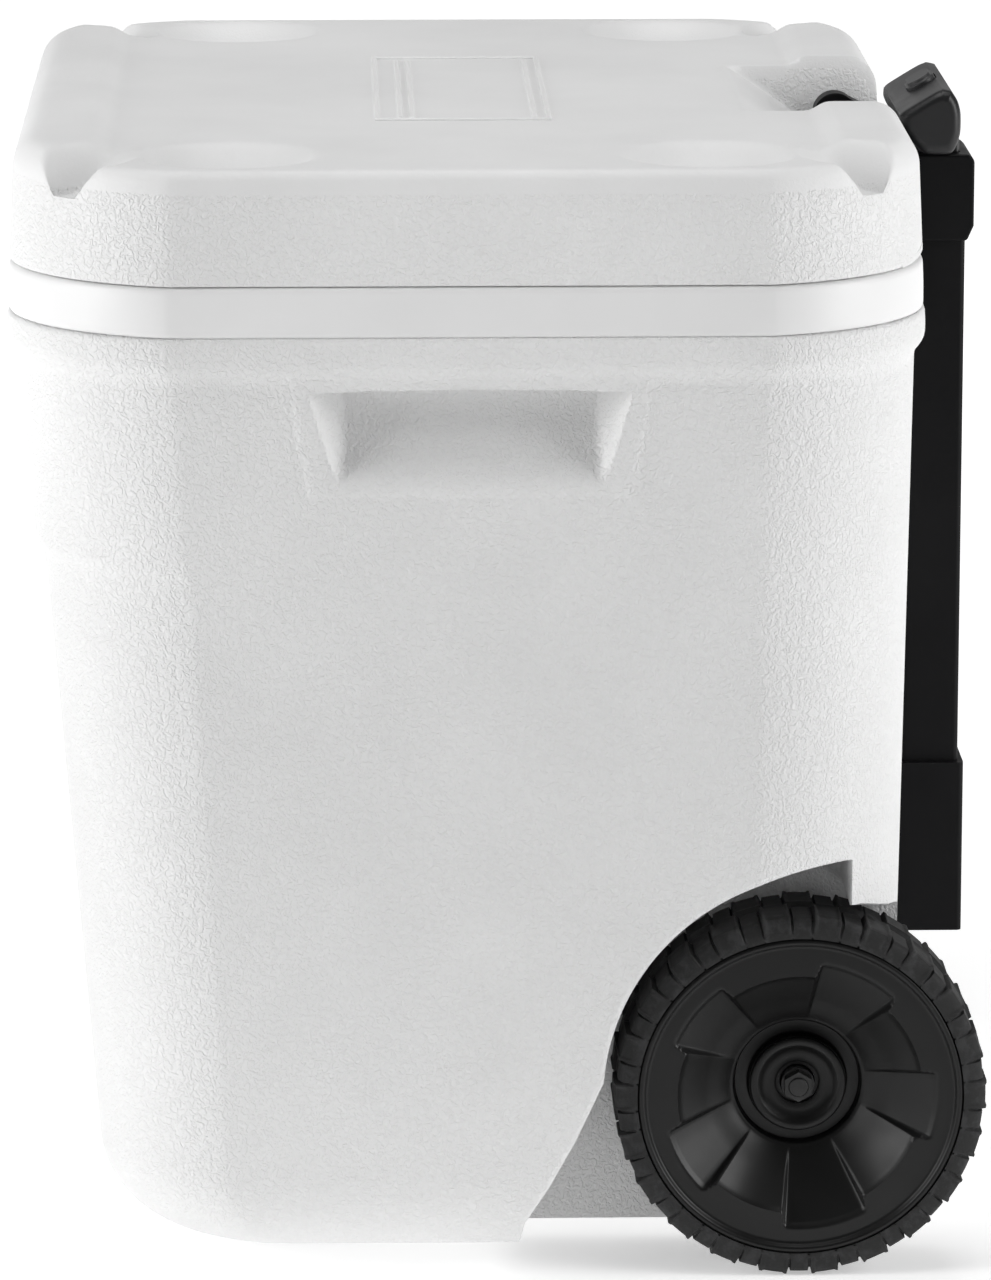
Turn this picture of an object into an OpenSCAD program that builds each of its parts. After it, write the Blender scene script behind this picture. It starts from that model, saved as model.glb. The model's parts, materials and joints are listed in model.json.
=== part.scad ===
// Wheeled cooler with a telescoping tow handle. Millimetres, +Z up, floor at Z = 0.
// X runs along the length, -Y is the front and +Y is the back, where the wheels and handle are.

/* [Body] */
// Length of the body at its rim
rim_length = 590; // [520:1:760]
// Depth of the body at its rim
rim_depth = 463; // [430:1:560]
// Height of the closed lid above the floor
total_height = 580; // [480:1:720]
// Height of the smooth collar band under the lid
collar_height = 25; // [18:1:34]
// Height of the bulged band at the top of the body
rim_band = 17; // [10:1:24]
// Gap between the body's underside and the floor
ground_gap = 10; // [6:1:20]
// Thickness of the outer moulding
skin = 3; // [2:0.5:4]
// Thickness of the insulation on the side walls
wall_foam = 32; // [20:1:45]
// Thickness of the insulation under the tub
floor_foam = 42; // [30:1:60]
// Thickness of the tub's wall
tub_wall = 3; // [2:0.5:4]
// Width of each hand-hold's mouth
hold_width = 160; // [120:1:200]
// Height of each hand-hold's mouth
hold_height = 46; // [36:1:60]
// Depth of each hand-hold
hold_depth = 30; // [20:1:34]

/* [Lid] */
// Height of the lid from its seam to its top
lid_height = 63; // [55:1:80]
// Thickness of the lid's outer moulding
lid_skin = 3; // [2:0.5:4]
// Depth of the flat top panel below the rails
panel_drop = 6; // [3:1:9]
// Radius of a cup holder at its rim
cup_r = 47; // [36:1:50]
// Depth of a cup holder below the panel
cup_depth = 12; // [6:1:18]
// Half width of the scoop's floor behind the tow handle
scoop_half = 73; // [70:1:90]
// Depth of the lid's plug inside the tub
lid_plug = 12; // [8:1:16]

/* [Wheels] */
// Radius of a wheel over its lugs
wheel_r = 95; // [80:1:114]
// Width of a wheel
wheel_w = 56; // [40:1:64]
// Number of lugs in each of the two rows
lugs = 22; // [16:1:28]
// Height of the lugs
lug_height = 3.5; // [2:0.5:6]
// Radius of the axle
axle_r = 5; // [4:0.5:7]
// Air between a wheel and its well
well_gap = 6; // [4:1:12]
// Depth of the hub behind the wheel's outer face
dish = 30; // [20:1:36]

/* [Handle] */
// Outer width of the fixed tube
tube_w = 48; // [44:0.2:58]
// Outer depth of the fixed tube
tube_d = 30.5; // [28:0.5:36]
// Side wall of the fixed tube, which holds the latch groove
tube_side = 5; // [4.5:0.5:6]
// Front and back wall of the fixed tube
tube_face = 3; // [2.5:0.5:4]
// Travel of the handle
stroke = 350; // [250:1:380]
// Sideways gap between the two tubes
slide_gap = 0.4; // [0.3:0.05:0.8]
// Half length of the grip
grip_half = 58; // [50:1:62]
// Travel of the release button
button_travel = 3.5; // [2:0.5:4.5]
// Radius of the latch pin
latch_r = 3.5; // [2.5:0.5:4]

/* [Hinge] */
// Radius of the hinge knuckles
knuckle_r = 12; // [9:0.5:12]
// Radius of the hinge pins
pin_r = 3; // [2:0.5:4]

/* [Hidden] */

$fn = 64;
eps = 0.2;             // stand-off between a filling and the skin around it
run = 0.05;            // radial clearance of a running fit
rest_gap = 0.3;        // gap between pieces of different bodies that meet at rest
far = 900;             // longer than the whole object

hx0 = rim_length / 2;
hy0 = rim_depth / 2;
seam_z = total_height - lid_height;
collar_z = seam_z - collar_height;
band_z = collar_z - rim_band;
crease_y = 150 * rim_depth / 463;
corner_run = 100;      // length of the rounded corner along X
face_inset = 5;        // how far the body's faces stand behind the rim
front_draft = 0.078;
back_draft = 0.0145;
end_draft = 0.028;
step_in = 4;           // small ledge across the front face
step_z = band_z - 105;
bottom_r = 52;
panel_z = total_height - panel_drop;

axle_y = hy0 - 63.5;
axle_z = wheel_r;
wheel_x1 = hx0 - 31;
wheel_x0 = wheel_x1 - wheel_w;
well_x = wheel_x0 - 12;
wheel_mid = (wheel_x0 + wheel_x1) / 2;

post_y0 = hy0 + 5.5;
post_y1 = post_y0 + tube_d;
cav_y0 = post_y0 + tube_face;
cav_y1 = post_y1 - tube_face;
cav_x = tube_w / 2 - tube_side;
post_top = total_height - 42;
post_bottom = 125;
collar_lip = 4;
collar_top = post_top + 4;
collar_bottom = post_top - 42;
in_x = cav_x - slide_gap;
in_y0 = cav_y0 + slide_gap;
in_y1 = cav_y1 - slide_gap;
in_wall = 2.5;
in_bottom = post_bottom + 15;
latch_z = in_bottom + 25;
groove_depth = 3;
groove_half = latch_r + 1;
latch_reach = 2.6;     // how far the pin stands into the groove
latch_travel = 2.8;
rod_r = 2.5;
rod_x0 = -6;
rod_y = (in_y0 + in_y1) / 2;

hinge_y = hy0 - 15.5;
hinge_z = seam_z + 28;
arm_x0 = 44;
arm_x1 = 57.5;
ear_x0 = 58.5;
ear_x1 = scoop_half - 0.5;
plate_y0 = hy0 + 0.3;
plate_y1 = post_y0 - 0.2;

grip_tilt = 30;
grip_z = total_height + 2;

// ---------- outlines ----------

function bez(a, b, c, d, t) =
    a * pow(1 - t, 3) + 3 * b * t * pow(1 - t, 2) + 3 * c * t * t * (1 - t) + d * pow(t, 3);

corner_steps = 6;

// One corner, from the end panel's crease to the long side, in the +X +Y quarter.
function corner(hx, hy, crease) = [
    for (i = [0 : corner_steps])
        bez([hx, crease], [hx - 12, crease + 44], [hx - corner_run + 52, hy],
            [hx - corner_run, hy], i / corner_steps)
];

function flip(points, sx, sy) = [for (p = points) [p[0] * sx, p[1] * sy]];
function backward(points) = [for (i = [len(points) - 1 : -1 : 0]) points[i]];

// Whole plan outline, counter-clockwise: half length, depth to the front and to the back.
function outline(hx, yf, yb) =
    let (cb = crease_y * yb / hy0, cf = crease_y * yf / hy0)
    concat(corner(hx, yb, cb), backward(flip(corner(hx, yb, cb), -1, 1)),
           flip(corner(hx, yf, cf), -1, -1), backward(flip(corner(hx, yf, cf), 1, -1)));

// Closed solid through rows of [z, half length, front, back].
module loft(rows) {
    n = len(outline(1, 1, 1));
    rings = len(rows);
    points = [for (r = rows) for (p = outline(r[1], r[2], r[3])) [p[0], p[1], r[0]]];
    sides = [
        for (k = [0 : rings - 2]) for (i = [0 : n - 1])
            let (j = (i + 1) % n)
            for (f = [[k * n + i, (k + 1) * n + i, (k + 1) * n + j], [k * n + i, (k + 1) * n + j, k * n + j]]) f
    ];
    bottom = [for (i = [0 : n - 1]) i];
    top = [for (i = [n - 1 : -1 : 0]) (rings - 1) * n + i];
    polyhedron(points, concat(sides, [bottom, top]), convexity = 4);
}

module along_x(x0, x1) {
    translate([x0, 0, 0]) rotate([90, 0, 90]) linear_extrude(x1 - x0) children();
}

module rod_x(x0, x1, y, z, r) {
    translate([x0, y, z]) rotate([0, 90, 0]) cylinder(h = x1 - x0, r = r);
}

module rod_y_axis(y0, y1, x, z, r) {
    translate([x, y0, z]) rotate([-90, 0, 0]) cylinder(h = y1 - y0, r = r);
}

module both() {
    children();
    mirror([1, 0, 0]) children();
}

module block(x0, x1, y0, y1, z0, z1) {
    translate([x0, y0, z0]) cube([x1 - x0, y1 - y0, z1 - z0]);
}

// Rectangle with true round corners.
module round_rect(x0, x1, y0, y1, r) {
    translate([x0 + r, y0]) square([x1 - x0 - 2 * r, y1 - y0]);
    translate([x0, y0 + r]) square([x1 - x0, y1 - y0 - 2 * r]);
    for (x = [x0 + r, x1 - r], y = [y0 + r, y1 - r]) translate([x, y]) circle(r = r);
}

// Puts the middle of the whole footprint over the origin.
module placed() {
    translate([0, -(post_y1 + collar_lip - hy0) / 2, 0]) children();
}

// ---------- body ----------

function side_x(z) = hx0 - face_inset + 1 - (band_z - z) * end_draft;
function side_f(z) = hy0 - face_inset - (band_z - z) * front_draft - (z < step_z ? step_in : 0);
function side_b(z) = hy0 - face_inset - (band_z - z) * back_draft;

function face_row(z, d) = [z, side_x(z) - d, side_f(z) - d, side_b(z) - d];

// Rows of the body's outside, or of the space d inside it.
function body_rows(d) = concat(
    [for (a = [8, 32, 58, 90])
        let (r = bottom_r, z = ground_gap + r * (1 - cos(a)) + d, s = face_row(ground_gap + r, d), k = r * (1 - sin(a)))
        [z, s[1] - k, s[2] - k, s[3] - k]],
    [face_row(step_z - 4, d), face_row(step_z + 5, d), face_row(band_z - 6, d)]
);

function band_rows() = [
    [band_z, hx0 - 1, hy0 - 1, hy0 - 1],
    [band_z + 5, hx0, hy0, hy0],
    [collar_z, hx0 - 0.5, hy0 - 0.5, hy0 - 0.5]
];

arch_r = wheel_r + 23;
arch_dy = 17;
arch_dz = 4;
arch_back = 24.5;

// Wheel well seen along X, centred on the axle and grown by g.
module well_profile(g) {
    low = -wheel_r - 40;
    intersection() {
        translate([arch_dy, arch_dz]) circle(r = arch_r + g);
        translate([-arch_r - 20, 0]) square([arch_r + 20 + arch_back + g, 2 * arch_r]);
    }
    circle(r = wheel_r + well_gap + g);
    polygon([[-arch_r + arch_dy - g, 6], [-arch_r - 22 - g, -wheel_r + 30], [-arch_r - 34 - g, low],
             [wheel_r + well_gap + g, low], [wheel_r + well_gap + g, 0], [0, 6]]);
}

module wells(g) {
    both() along_x(well_x - g, far) translate([axle_y, axle_z]) well_profile(g);
}

hold_z1 = band_z - 10;
hold_z0 = hold_z1 - hold_height;
hold_mouth = side_x(hold_z0) + 1;
hold_back = side_x(hold_z1) + 4 - hold_depth;
hold_taper = 14;       // how much narrower each side of the mouth is at the lower lip
hold_flare = 13;       // how much narrower each side is at the deepest edge
hold_grip = 12;        // height of the upright wall behind the fingers

// Hand-hold pockets in both ends, deepest under their top edge, grown by g.
module holds(g) {
    w = hold_width / 2;
    both() hull() {
        block(hold_mouth, hold_mouth + 20, -w - g, w + g, hold_z1 - 1, hold_z1 + g);
        block(hold_mouth, hold_mouth + 20, -w + hold_taper - g, w - hold_taper + g, hold_z0 - g, hold_z0 + 1);
        block(hold_back - g, hold_back + 4, -w + hold_flare - g, w - hold_flare + g, hold_z1 - hold_grip - g,
              hold_z1 + g);
    }
}

// Everything inside the skin, before the tub is taken out.
module body_hollow(d) {
    difference() {
        loft(concat(body_rows(d), [face_row(band_z + 0.01, d)], [face_row(collar_z + 1, d)]));
        wells(d);
        holds(d);
    }
}

tub_in = skin + wall_foam;
tub_low = ground_gap + skin + floor_foam + tub_wall;
tub_end = side_x(tub_low) - tub_in - 6;
drain_y = -60;
drain_r = 10;
drain_z = tub_low + drain_r + 10.5;
opening_x = hx0 - tub_in - 2;
opening_y = hy0 - tub_in - 2;
shelf_y = axle_y - 34;
shelf_z = axle_z + 30;
step_x = well_x - skin - 16;
step_y = axle_y - arch_r - 30;
step_top = axle_z + arch_r + 22;
tub_chamfer = 1.5;

// The tub's inside, grown by g.
module tub_space(g) {
    low = tub_low;
    k = tub_chamfer;
    difference() {
        loft([
            [low - g, tub_end - k + g, side_f(low) - tub_in - k + g, side_b(low) - tub_in - k + g],
            [low + k, tub_end + g, side_f(low) - tub_in + g, side_b(low) - tub_in + g],
            [collar_z - 30, opening_x - 4 + g, opening_y - 4 + g, opening_y - 4 + g],
            [seam_z + 1, opening_x + g, opening_y + g, opening_y + g]
        ]);
        block(-far, far, shelf_y + g, far, -1, shelf_z - g);
        both() block(step_x + g, far, step_y + g, far, -1, step_top - g);
    }
}

module drain_hole(r) {
    rod_x(-hx0 - 10, -opening_x + 60, drain_y, drain_z, r);
}

module body_shell() {
    color("white") difference() {
        loft(concat(body_rows(0), band_rows()));
        wells(0);
        holds(0);
        body_hollow(skin);
        drain_hole(drain_r);
        rod_x(-far, far, axle_y, axle_z, axle_r + 4);
        for (x = [-shoe_screw_x, shoe_screw_x], z = shoe_screw_z) rod_y_axis(0, far, x, z, screw_r);
        for (x = [-plate_screw_x, plate_screw_x], z = plate_screw_z) rod_y_axis(0, far, x, z, screw_r);
    }
}

module body_foam() {
    color("khaki") difference() {
        intersection() {
            body_hollow(skin + eps);
            block(-far, far, -far, far, 0, collar_z - eps);
        }
        tub_space(tub_wall + eps);
        drain_hole(drain_r + 4);
        rod_x(-far, far, axle_y, axle_z, axle_r + 4 + eps);
        for (x = [-shoe_screw_x, shoe_screw_x], z = shoe_screw_z) rod_y_axis(hy0 - 40, far, x, z, screw_r);
        for (x = [-plate_screw_x, plate_screw_x], z = plate_screw_z) rod_y_axis(hy0 - 40, far, x, z, screw_r);
    }
}

module liner() {
    color("white") difference() {
        intersection() {
            tub_space(tub_wall);
            block(-far, far, -far, far, 0, seam_z);
        }
        tub_space(0);
        drain_hole(drain_r);
    }
}

// Smooth frame that closes the wall between the body and the tub.
module collar_frame() {
    color("white") difference() {
        loft([[collar_z, hx0 - 1, hy0 - 1, hy0 - 1], [seam_z - 1.5, hx0 - 1.5, hy0 - 1.5, hy0 - 1.5],
              [seam_z, hx0 - 3, hy0 - 3, hy0 - 3]]);
        tub_space(tub_wall + 0.02);
    }
}

foot_x0 = hx0 - 199;
foot_x1 = hx0 - 109;

module front_foot(s) {
    mirror([s < 0 ? 1 : 0, 0, 0]) color("gainsboro") difference() {
        translate([0, -hy0 + 139, 0]) linear_extrude(ground_gap - 0.02) round_rect(foot_x0, foot_x1, -25, 25, 10);
        translate([0, -hy0 + 139, -0.5]) linear_extrude(2) round_rect(foot_x0 + 12, foot_x1 - 12, -13, 13, 4);
    }
}

// ---------- drain ----------

cap_reach = 14;

function drain_face() = -side_x(drain_z) + 0.6;

module drain_spout() {
    x = drain_face();
    color("white") difference() {
        union() {
            rod_x(x - 9, -opening_x + 44, drain_y, drain_z, drain_r - 0.1);
            rod_x(x - 3.3, x - 1.3, drain_y, drain_z, drain_r + 6);
        }
        rod_x(x - 30, -opening_x + 60, drain_y, drain_z, drain_r - 3);
    }
}

module drain_washer() {
    color("dimgray") difference() {
        rod_x(-tub_end + 0.1, -tub_end + 2, drain_y, drain_z, drain_r + 4);
        rod_x(-far, far, drain_y, drain_z, drain_r);
    }
}

module drain_nut() {
    color("white") difference() {
        translate([-tub_end + 2.1, drain_y, drain_z]) rotate([0, 90, 0]) cylinder(h = 6, r = drain_r + 5.5, $fn = 6);
        rod_x(-far, far, drain_y, drain_z, drain_r);
    }
}

module drain_cap() {
    x = drain_face();
    color("white") difference() {
        rod_x(x - cap_reach, x - 3.7, drain_y, drain_z, drain_r + 4);
        rod_x(x - cap_reach + 2.6, x, drain_y, drain_z, drain_r + 0.3);
        for (a = [0 : 45 : 315])
            translate([x - 30, drain_y, drain_z]) rotate([a, 0, 0]) translate([0, drain_r + 5, 0])
                rotate([0, 90, 0]) cylinder(h = 25, r = 2.2);
    }
}

module drain_seal() {
    x = drain_face();
    color("black") difference() {
        rod_x(x - cap_reach + 2.7, x - 9.3, drain_y, drain_z, drain_r - 0.5);
        rod_x(x - 30, x, drain_y, drain_z, drain_r - 3.5);
    }
}

// ---------- axle and wheels ----------

hub_face = wheel_w / 2 - dish;
hub_x = wheel_mid + hub_face + 3.5;
axle_end = hub_x + 9;

module axle() {
    color("silver") rod_x(-axle_end, axle_end, axle_y, axle_z, axle_r);
}

module axle_sleeve() {
    color("dimgray") difference() {
        union() {
            rod_x(well_x - 40, well_x + 3, axle_y, axle_z, axle_r + 3.9);
            rod_x(well_x + 0.1, wheel_x0 - 1, axle_y, axle_z, axle_r + 9);
        }
        rod_x(-far, far, axle_y, axle_z, axle_r + 0.02);
    }
}

module axle_washer() {
    color("silver") difference() {
        rod_x(hub_x + 0.5, hub_x + 2, axle_y, axle_z, 8.5);
        rod_x(-far, far, axle_y, axle_z, axle_r + 0.02);
    }
}

module axle_nut() {
    color("gray") difference() {
        translate([hub_x + 2.1, axle_y, axle_z]) rotate([0, 90, 0]) cylinder(h = 6, r = 8, $fn = 6);
        rod_x(-far, far, axle_y, axle_z, axle_r + 0.02);
    }
}

tyre_r0 = wheel_r - 12;
lug_share = 0.62;

// One row of lugs, turned by a share of a pitch.
module tread_outline(shift) {
    pitch = 360 / lugs;
    low = wheel_r - lug_height;
    half = pitch * lug_share / 2;
    polygon([
        for (i = [0 : lugs - 1])
            let (a = (i + shift) * pitch)
            for (q = [[a - half - 1.2, low], [a - half + 1, wheel_r], [a, wheel_r], [a + half - 1, wheel_r],
                      [a + half + 1.2, low]])
                [q[1] * cos(q[0]), q[1] * sin(q[0])]
    ]);
}

module tyre() {
    color([0.13, 0.13, 0.13]) difference() {
        union() {
            along_x(wheel_x0, wheel_mid) translate([axle_y, axle_z]) tread_outline(0);
            along_x(wheel_mid, wheel_x1) translate([axle_y, axle_z]) tread_outline(0.5);
        }
        rod_x(0, far, axle_y, axle_z, tyre_r0);
    }
}

disc_rim = 4.5;
dish_r = tyre_r0 - 13;
hub_r = 14;
bush_r = axle_r + 2.5;

module wheel_disc() {
    w = wheel_w / 2;
    r1 = tyre_r0 - 0.05;
    color([0.07, 0.07, 0.07]) translate([wheel_mid, axle_y, axle_z]) rotate([0, 90, 0]) difference() {
        union() {
            rotate_extrude() polygon([
                [bush_r, -w + 1], [hub_r, -w + 1], [hub_r, hub_face - 9], [31, hub_face - 8],
                [dish_r + 1, w - 9], [r1 - disc_rim, w - 9], [r1 - disc_rim, -w], [r1, -w], [r1, w], [r1 - 2, w],
                [r1 - disc_rim, w - 3], [dish_r, w - 4], [33, hub_face + 1], [32, hub_face - 3.5],
                [25.5, hub_face - 3.5], [25.5, hub_face + 3.5], [bush_r, hub_face + 3.5]
            ]);
            for (a = [0 : 72 : 288]) rotate(a) translate([hub_r - 1, -2, -w + 2])
                cube([r1 - hub_r - 3, 4, hub_face - 6 + w - 2]);
        }
        translate([0, 0, hub_face]) cylinder(h = 40, r = 22);
    }
}

module wheel_bushing() {
    color("gray") difference() {
        rod_x(wheel_mid - wheel_w / 2 + 0.5, wheel_mid + hub_face + 0.7, axle_y, axle_z, bush_r);
        rod_x(0, far, axle_y, axle_z, axle_r + run);
    }
}

module hub_ring() {
    color([0.07, 0.07, 0.07]) difference() {
        translate([wheel_mid + hub_face, axle_y, axle_z]) rotate([0, 90, 0]) rotate_extrude()
            polygon([[11, 0.1], [21.9, 0.1], [21.9, 3.6], [24.6, 3.6], [24.6, 6], [20, 6.5], [16, 3], [11, 2]]);
    }
}

// ---------- tow handle, fixed part ----------

shoe_screw_x = 12;
shoe_screw_z = [post_bottom + 18, post_bottom + 62];
plate_screw_x = 50;
plate_screw_z = [band_z - 12];
screw_r = 2.5;

module outer_tube() {
    color([0.08, 0.08, 0.08]) difference() {
        translate([0, 0, post_bottom]) linear_extrude(post_top - post_bottom)
            round_rect(-tube_w / 2, tube_w / 2, post_y0, post_y1, 3);
        block(-cav_x, cav_x, cav_y0, cav_y1, post_bottom + 5, far);
        block(0, cav_x + groove_depth, rod_y - groove_half, rod_y + groove_half, latch_z - 12,
              latch_z + stroke + 12);
        for (z = [latch_z, latch_z + stroke]) rod_x(cav_x, tube_w, rod_y, z, latch_r + 0.3);
    }
}

collar_x = tube_w / 2 + 5;

module tube_collar() {
    color([0.08, 0.08, 0.08]) difference() {
        along_x(-collar_x, collar_x) polygon([
            [plate_y1 + 0.1, collar_bottom], [post_y1 + 0.5, collar_bottom], [post_y1 + collar_lip, collar_bottom + 8],
            [post_y1 + collar_lip, collar_top - 3], [post_y1 + 1, collar_top], [plate_y1 + 0.1, collar_top]
        ]);
        translate([0, 0, collar_bottom - 1]) linear_extrude(post_top - collar_bottom + 1)
            round_rect(-tube_w / 2, tube_w / 2, post_y0, post_y1, 3);
        block(-cav_x, cav_x, cav_y0, cav_y1, 0, far);
    }
}

module tube_shoe() {
    color([0.08, 0.08, 0.08]) difference() {
        union() {
            translate([0, 0, post_bottom - 5.5]) linear_extrude(93)
                round_rect(-collar_x + 1, collar_x - 1, post_y0 - 3, post_y1 + 2.8, 3);
            block(-20, 20, side_b(post_bottom) + 2.0, post_y0 - 1, post_bottom, post_bottom + 80);
        }
        translate([0, 0, post_bottom]) linear_extrude(far) round_rect(-tube_w / 2, tube_w / 2, post_y0, post_y1, 3);
        for (x = [-shoe_screw_x, shoe_screw_x], z = shoe_screw_z) rod_y_axis(0, far, x, z, screw_r);
    }
}

module screw(x, z, y_head, length, head_r, head_h) {
    rod_y_axis(y_head - length, y_head, x, z, screw_r - 0.02);
    rod_y_axis(y_head, y_head + head_h, x, z, head_r);
}

module shoe_screws() {
    color("silver") for (x = [-shoe_screw_x, shoe_screw_x], z = shoe_screw_z)
        rod_y_axis(side_b(post_bottom) - 16, post_y0 - 0.05, x, z, screw_r - 0.02);
}

// Side view of a hinge arm: from behind the collar, over the lid's back edge, to the knuckle.
module arm_profile() {
    top = hinge_z;
    polygon([
        [plate_y0 + 0.6, collar_z + 4], [plate_y1, collar_z + 4], [plate_y1 + 3, top - 14], [hinge_y + 19, top - 3],
        [hinge_y + 3, top + knuckle_r - 0.4], [hinge_y, top - knuckle_r + 0.1], [plate_y0 + 0.6, top - 17]
    ]);
    translate([hinge_y, hinge_z]) circle(r = knuckle_r);
}

module hinge_bracket() {
    color([0.08, 0.08, 0.08]) difference() {
        union() {
            block(-arm_x1, arm_x1, plate_y0, plate_y1, band_z - 24, seam_z - 3);
            block(-arm_x1 + 2, arm_x1 - 2, hy0 - face_inset + 0.1, plate_y1, band_z - 24, band_z - 8);
            both() along_x(arm_x0, arm_x1) arm_profile();
        }
        both() rod_x(arm_x0 - 1, arm_x1 + 1, hinge_y, hinge_z, pin_r);
        for (x = [-plate_screw_x, plate_screw_x], z = plate_screw_z) rod_y_axis(0, far, x, z, screw_r);
    }
}

module bracket_screws() {
    color("silver") for (x = [-plate_screw_x, plate_screw_x], z = plate_screw_z)
        screw(x, z, plate_y1 + 0.02, 24, 4.5, 2.4);
}

module hinge_pin() {
    color("silver") union() {
        rod_x(arm_x0 - 2, ear_x1 - 1, hinge_y, hinge_z, pin_r);
        rod_x(arm_x0 - 2.4, arm_x0 - 0.02, hinge_y, hinge_z, pin_r + 1.8);
    }
}

// ---------- tow handle, sliding part ----------

tube_top = total_height - 28;

module inner_tube() {
    color([0.16, 0.16, 0.17]) difference() {
        translate([0, 0, in_bottom]) linear_extrude(tube_top - in_bottom) round_rect(-in_x, in_x, in_y0, in_y1, 2);
        block(-in_x + in_wall, in_x - in_wall, in_y0 + in_wall, in_y1 - in_wall, 0, far);
        rod_x(0, far, rod_y, latch_z, latch_r + run);
    }
}

module slide_plug() {
    color("gray") union() {
        block(-in_x + 0.1, in_x - 0.1, in_y0, in_y1, in_bottom - 5, in_bottom - 0.05);
        block(-in_x + in_wall + 0.1, in_x - in_wall - 0.1, in_y0 + in_wall + 0.1, in_y1 - in_wall - 0.1,
              in_bottom - 1, in_bottom + 10);
    }
}

block_x = in_x - in_wall - 0.1;

module latch_block() {
    color("gray") difference() {
        block(-block_x, block_x, in_y0 + in_wall + 0.1, in_y1 - in_wall - 0.1, latch_z - 12, latch_z + 14);
        rod_x(-2, far, rod_y, latch_z, latch_r + run);
        translate([rod_x0, rod_y, latch_z - 6]) cylinder(h = 60, r = rod_r + run);
    }
}

module spring_seat() {
    color("gray") difference() {
        block(-block_x, block_x, in_y0 + in_wall + 0.1, in_y1 - in_wall - 0.1, spring_z0 - 4, spring_z0 - 0.02);
        translate([rod_x0, rod_y, 0]) cylinder(h = far, r = rod_r + run);
    }
}

module latch_pin() {
    color("silver") rod_x(1.5, in_x + latch_reach, rod_y, latch_z, latch_r);
}

module push_rod() {
    color("silver") union() {
        translate([rod_x0, rod_y, latch_z + 2]) cylinder(h = tube_top - latch_z - 12, r = rod_r);
        translate([rod_x0, rod_y, spring_z1]) cylinder(h = tube_top + 3 - spring_z1, r = rod_r + 1.6);
        block(rod_x0 - 3, 9, rod_y - 4, rod_y + 4, tube_top + 2, tube_top + 5);
        block(-5.5, 5.5, rod_y - 3, rod_y + 3, tube_top + 4, button_under(rod_y - 3) - 0.4);
    }
}

spring_turns = 5;
spring_steps = 14;
spring_sides = 6;
spring_z0 = tube_top - 32;
spring_z1 = tube_top - 11;

// A coil of round wire that stands on the Z axis.
module coil(z0, z1, r, wire) {
    n = spring_turns * spring_steps;
    pts = [
        for (i = [0 : n]) for (k = [0 : spring_sides - 1])
            let (a = 360 * i / spring_steps, b = 360 * k / spring_sides, q = r + wire * cos(b))
            [q * cos(a), q * sin(a), z0 + wire + (z1 - z0 - 2 * wire) * i / n + wire * sin(b)]
    ];
    sides = [
        for (i = [0 : n - 1]) for (k = [0 : spring_sides - 1])
            let (j = (k + 1) % spring_sides, a = i * spring_sides, b = a + spring_sides)
            for (f = [[a + k, a + j, b + j], [a + k, b + j, b + k]]) f
    ];
    first = [for (k = [spring_sides - 1 : -1 : 0]) k];
    last = [for (k = [0 : spring_sides - 1]) n * spring_sides + k];
    polyhedron(pts, concat(sides, [first, last]), convexity = 8);
}

module button_spring() {
    color("silver") translate([rod_x0, rod_y, 0]) coil(spring_z0, spring_z1 - 0.02, rod_r + 1.4, 0.6);
}

grip_front_y = post_y0 - 8.5;
grip_back_y = post_y1 - 6;
grip_split = rod_y;

// Side view of the grip: a tilted top over rounded flanks that narrow to the neck.
module grip_profile() {
    polygon([
        [grip_front_y, grip_z - 17], [grip_front_y + 2, grip_z - 14], [grip_front_y + 20, grip_z - 3],
        [grip_back_y - 7, grip_z - 1.2], [grip_back_y - 3, grip_z - 5], [grip_back_y, grip_z - 13],
        [grip_back_y, grip_z - 26], [grip_back_y - 4, grip_z - 36], [grip_front_y + 14, grip_z - 36],
        [grip_front_y + 2, grip_z - 24]
    ]);
}

module grip_plan() {
    r = (grip_back_y - grip_front_y) / 2 + 2;
    y = (grip_front_y + grip_back_y) / 2;
    translate([-grip_half + r, y - r]) square([2 * grip_half - 2 * r, 2 * r]);
    for (x = [-grip_half + r, grip_half - r]) translate([x, y]) circle(r = r);
}

// The crossbar and its neck, as one closed form.
module grip_form() {
    intersection() {
        along_x(-grip_half, grip_half) grip_profile();
        linear_extrude(far) grip_plan();
        along_y(-far, far) polygon([
            [-grip_half, grip_z + 1], [grip_half, grip_z + 1], [grip_half, grip_z - 22],
            [26, grip_z - 30], [22, grip_z - 37], [-22, grip_z - 37], [-26, grip_z - 30], [-grip_half, grip_z - 22]
        ]);
    }
}

module along_y(y0, y1) {
    translate([0, y1, 0]) rotate([90, 0, 0]) linear_extrude(y1 - y0) children();
}

button_y = grip_front_y + 16;
button_z = grip_z - 5.3;

// Height of the button's underside above a point of the Y axis.
function button_under(y) = button_z + (y - button_y) * tan(grip_tilt) - 4 / cos(grip_tilt);

// Runs children in the frame of the tilted button, with +Z out of the grip.
module button_frame() {
    translate([0, button_y, button_z]) rotate([grip_tilt, 0, 0]) children();
}

module button_oval(r, h) {
    linear_extrude(h) {
        for (x = [-6, 6]) translate([x, 0]) circle(r = r);
        translate([-6, -r]) square([12, 2 * r]);
    }
}

module grip_hollow() {
    block(-in_x - 0.02, in_x + 0.02, in_y0 - 0.02, in_y1 + 0.02, 0, tube_top + 0.02);
    block(-12, 12, rod_y - 7, rod_y + 7, tube_top - 1, tube_top + 9);
    block(-6.5, 6.5, rod_y - 4, rod_y + 4, tube_top, button_under(rod_y));
    button_frame() translate([0, 0, -9]) button_oval(8.3, 30);
    for (x = [-40, 40]) rod_y_axis(grip_split - 9, far, x, grip_z - 18, screw_r - 0.5);
    for (x = [-40, 40]) rod_y_axis(grip_back_y - 4, far, x, grip_z - 18, 4);
}

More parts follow.
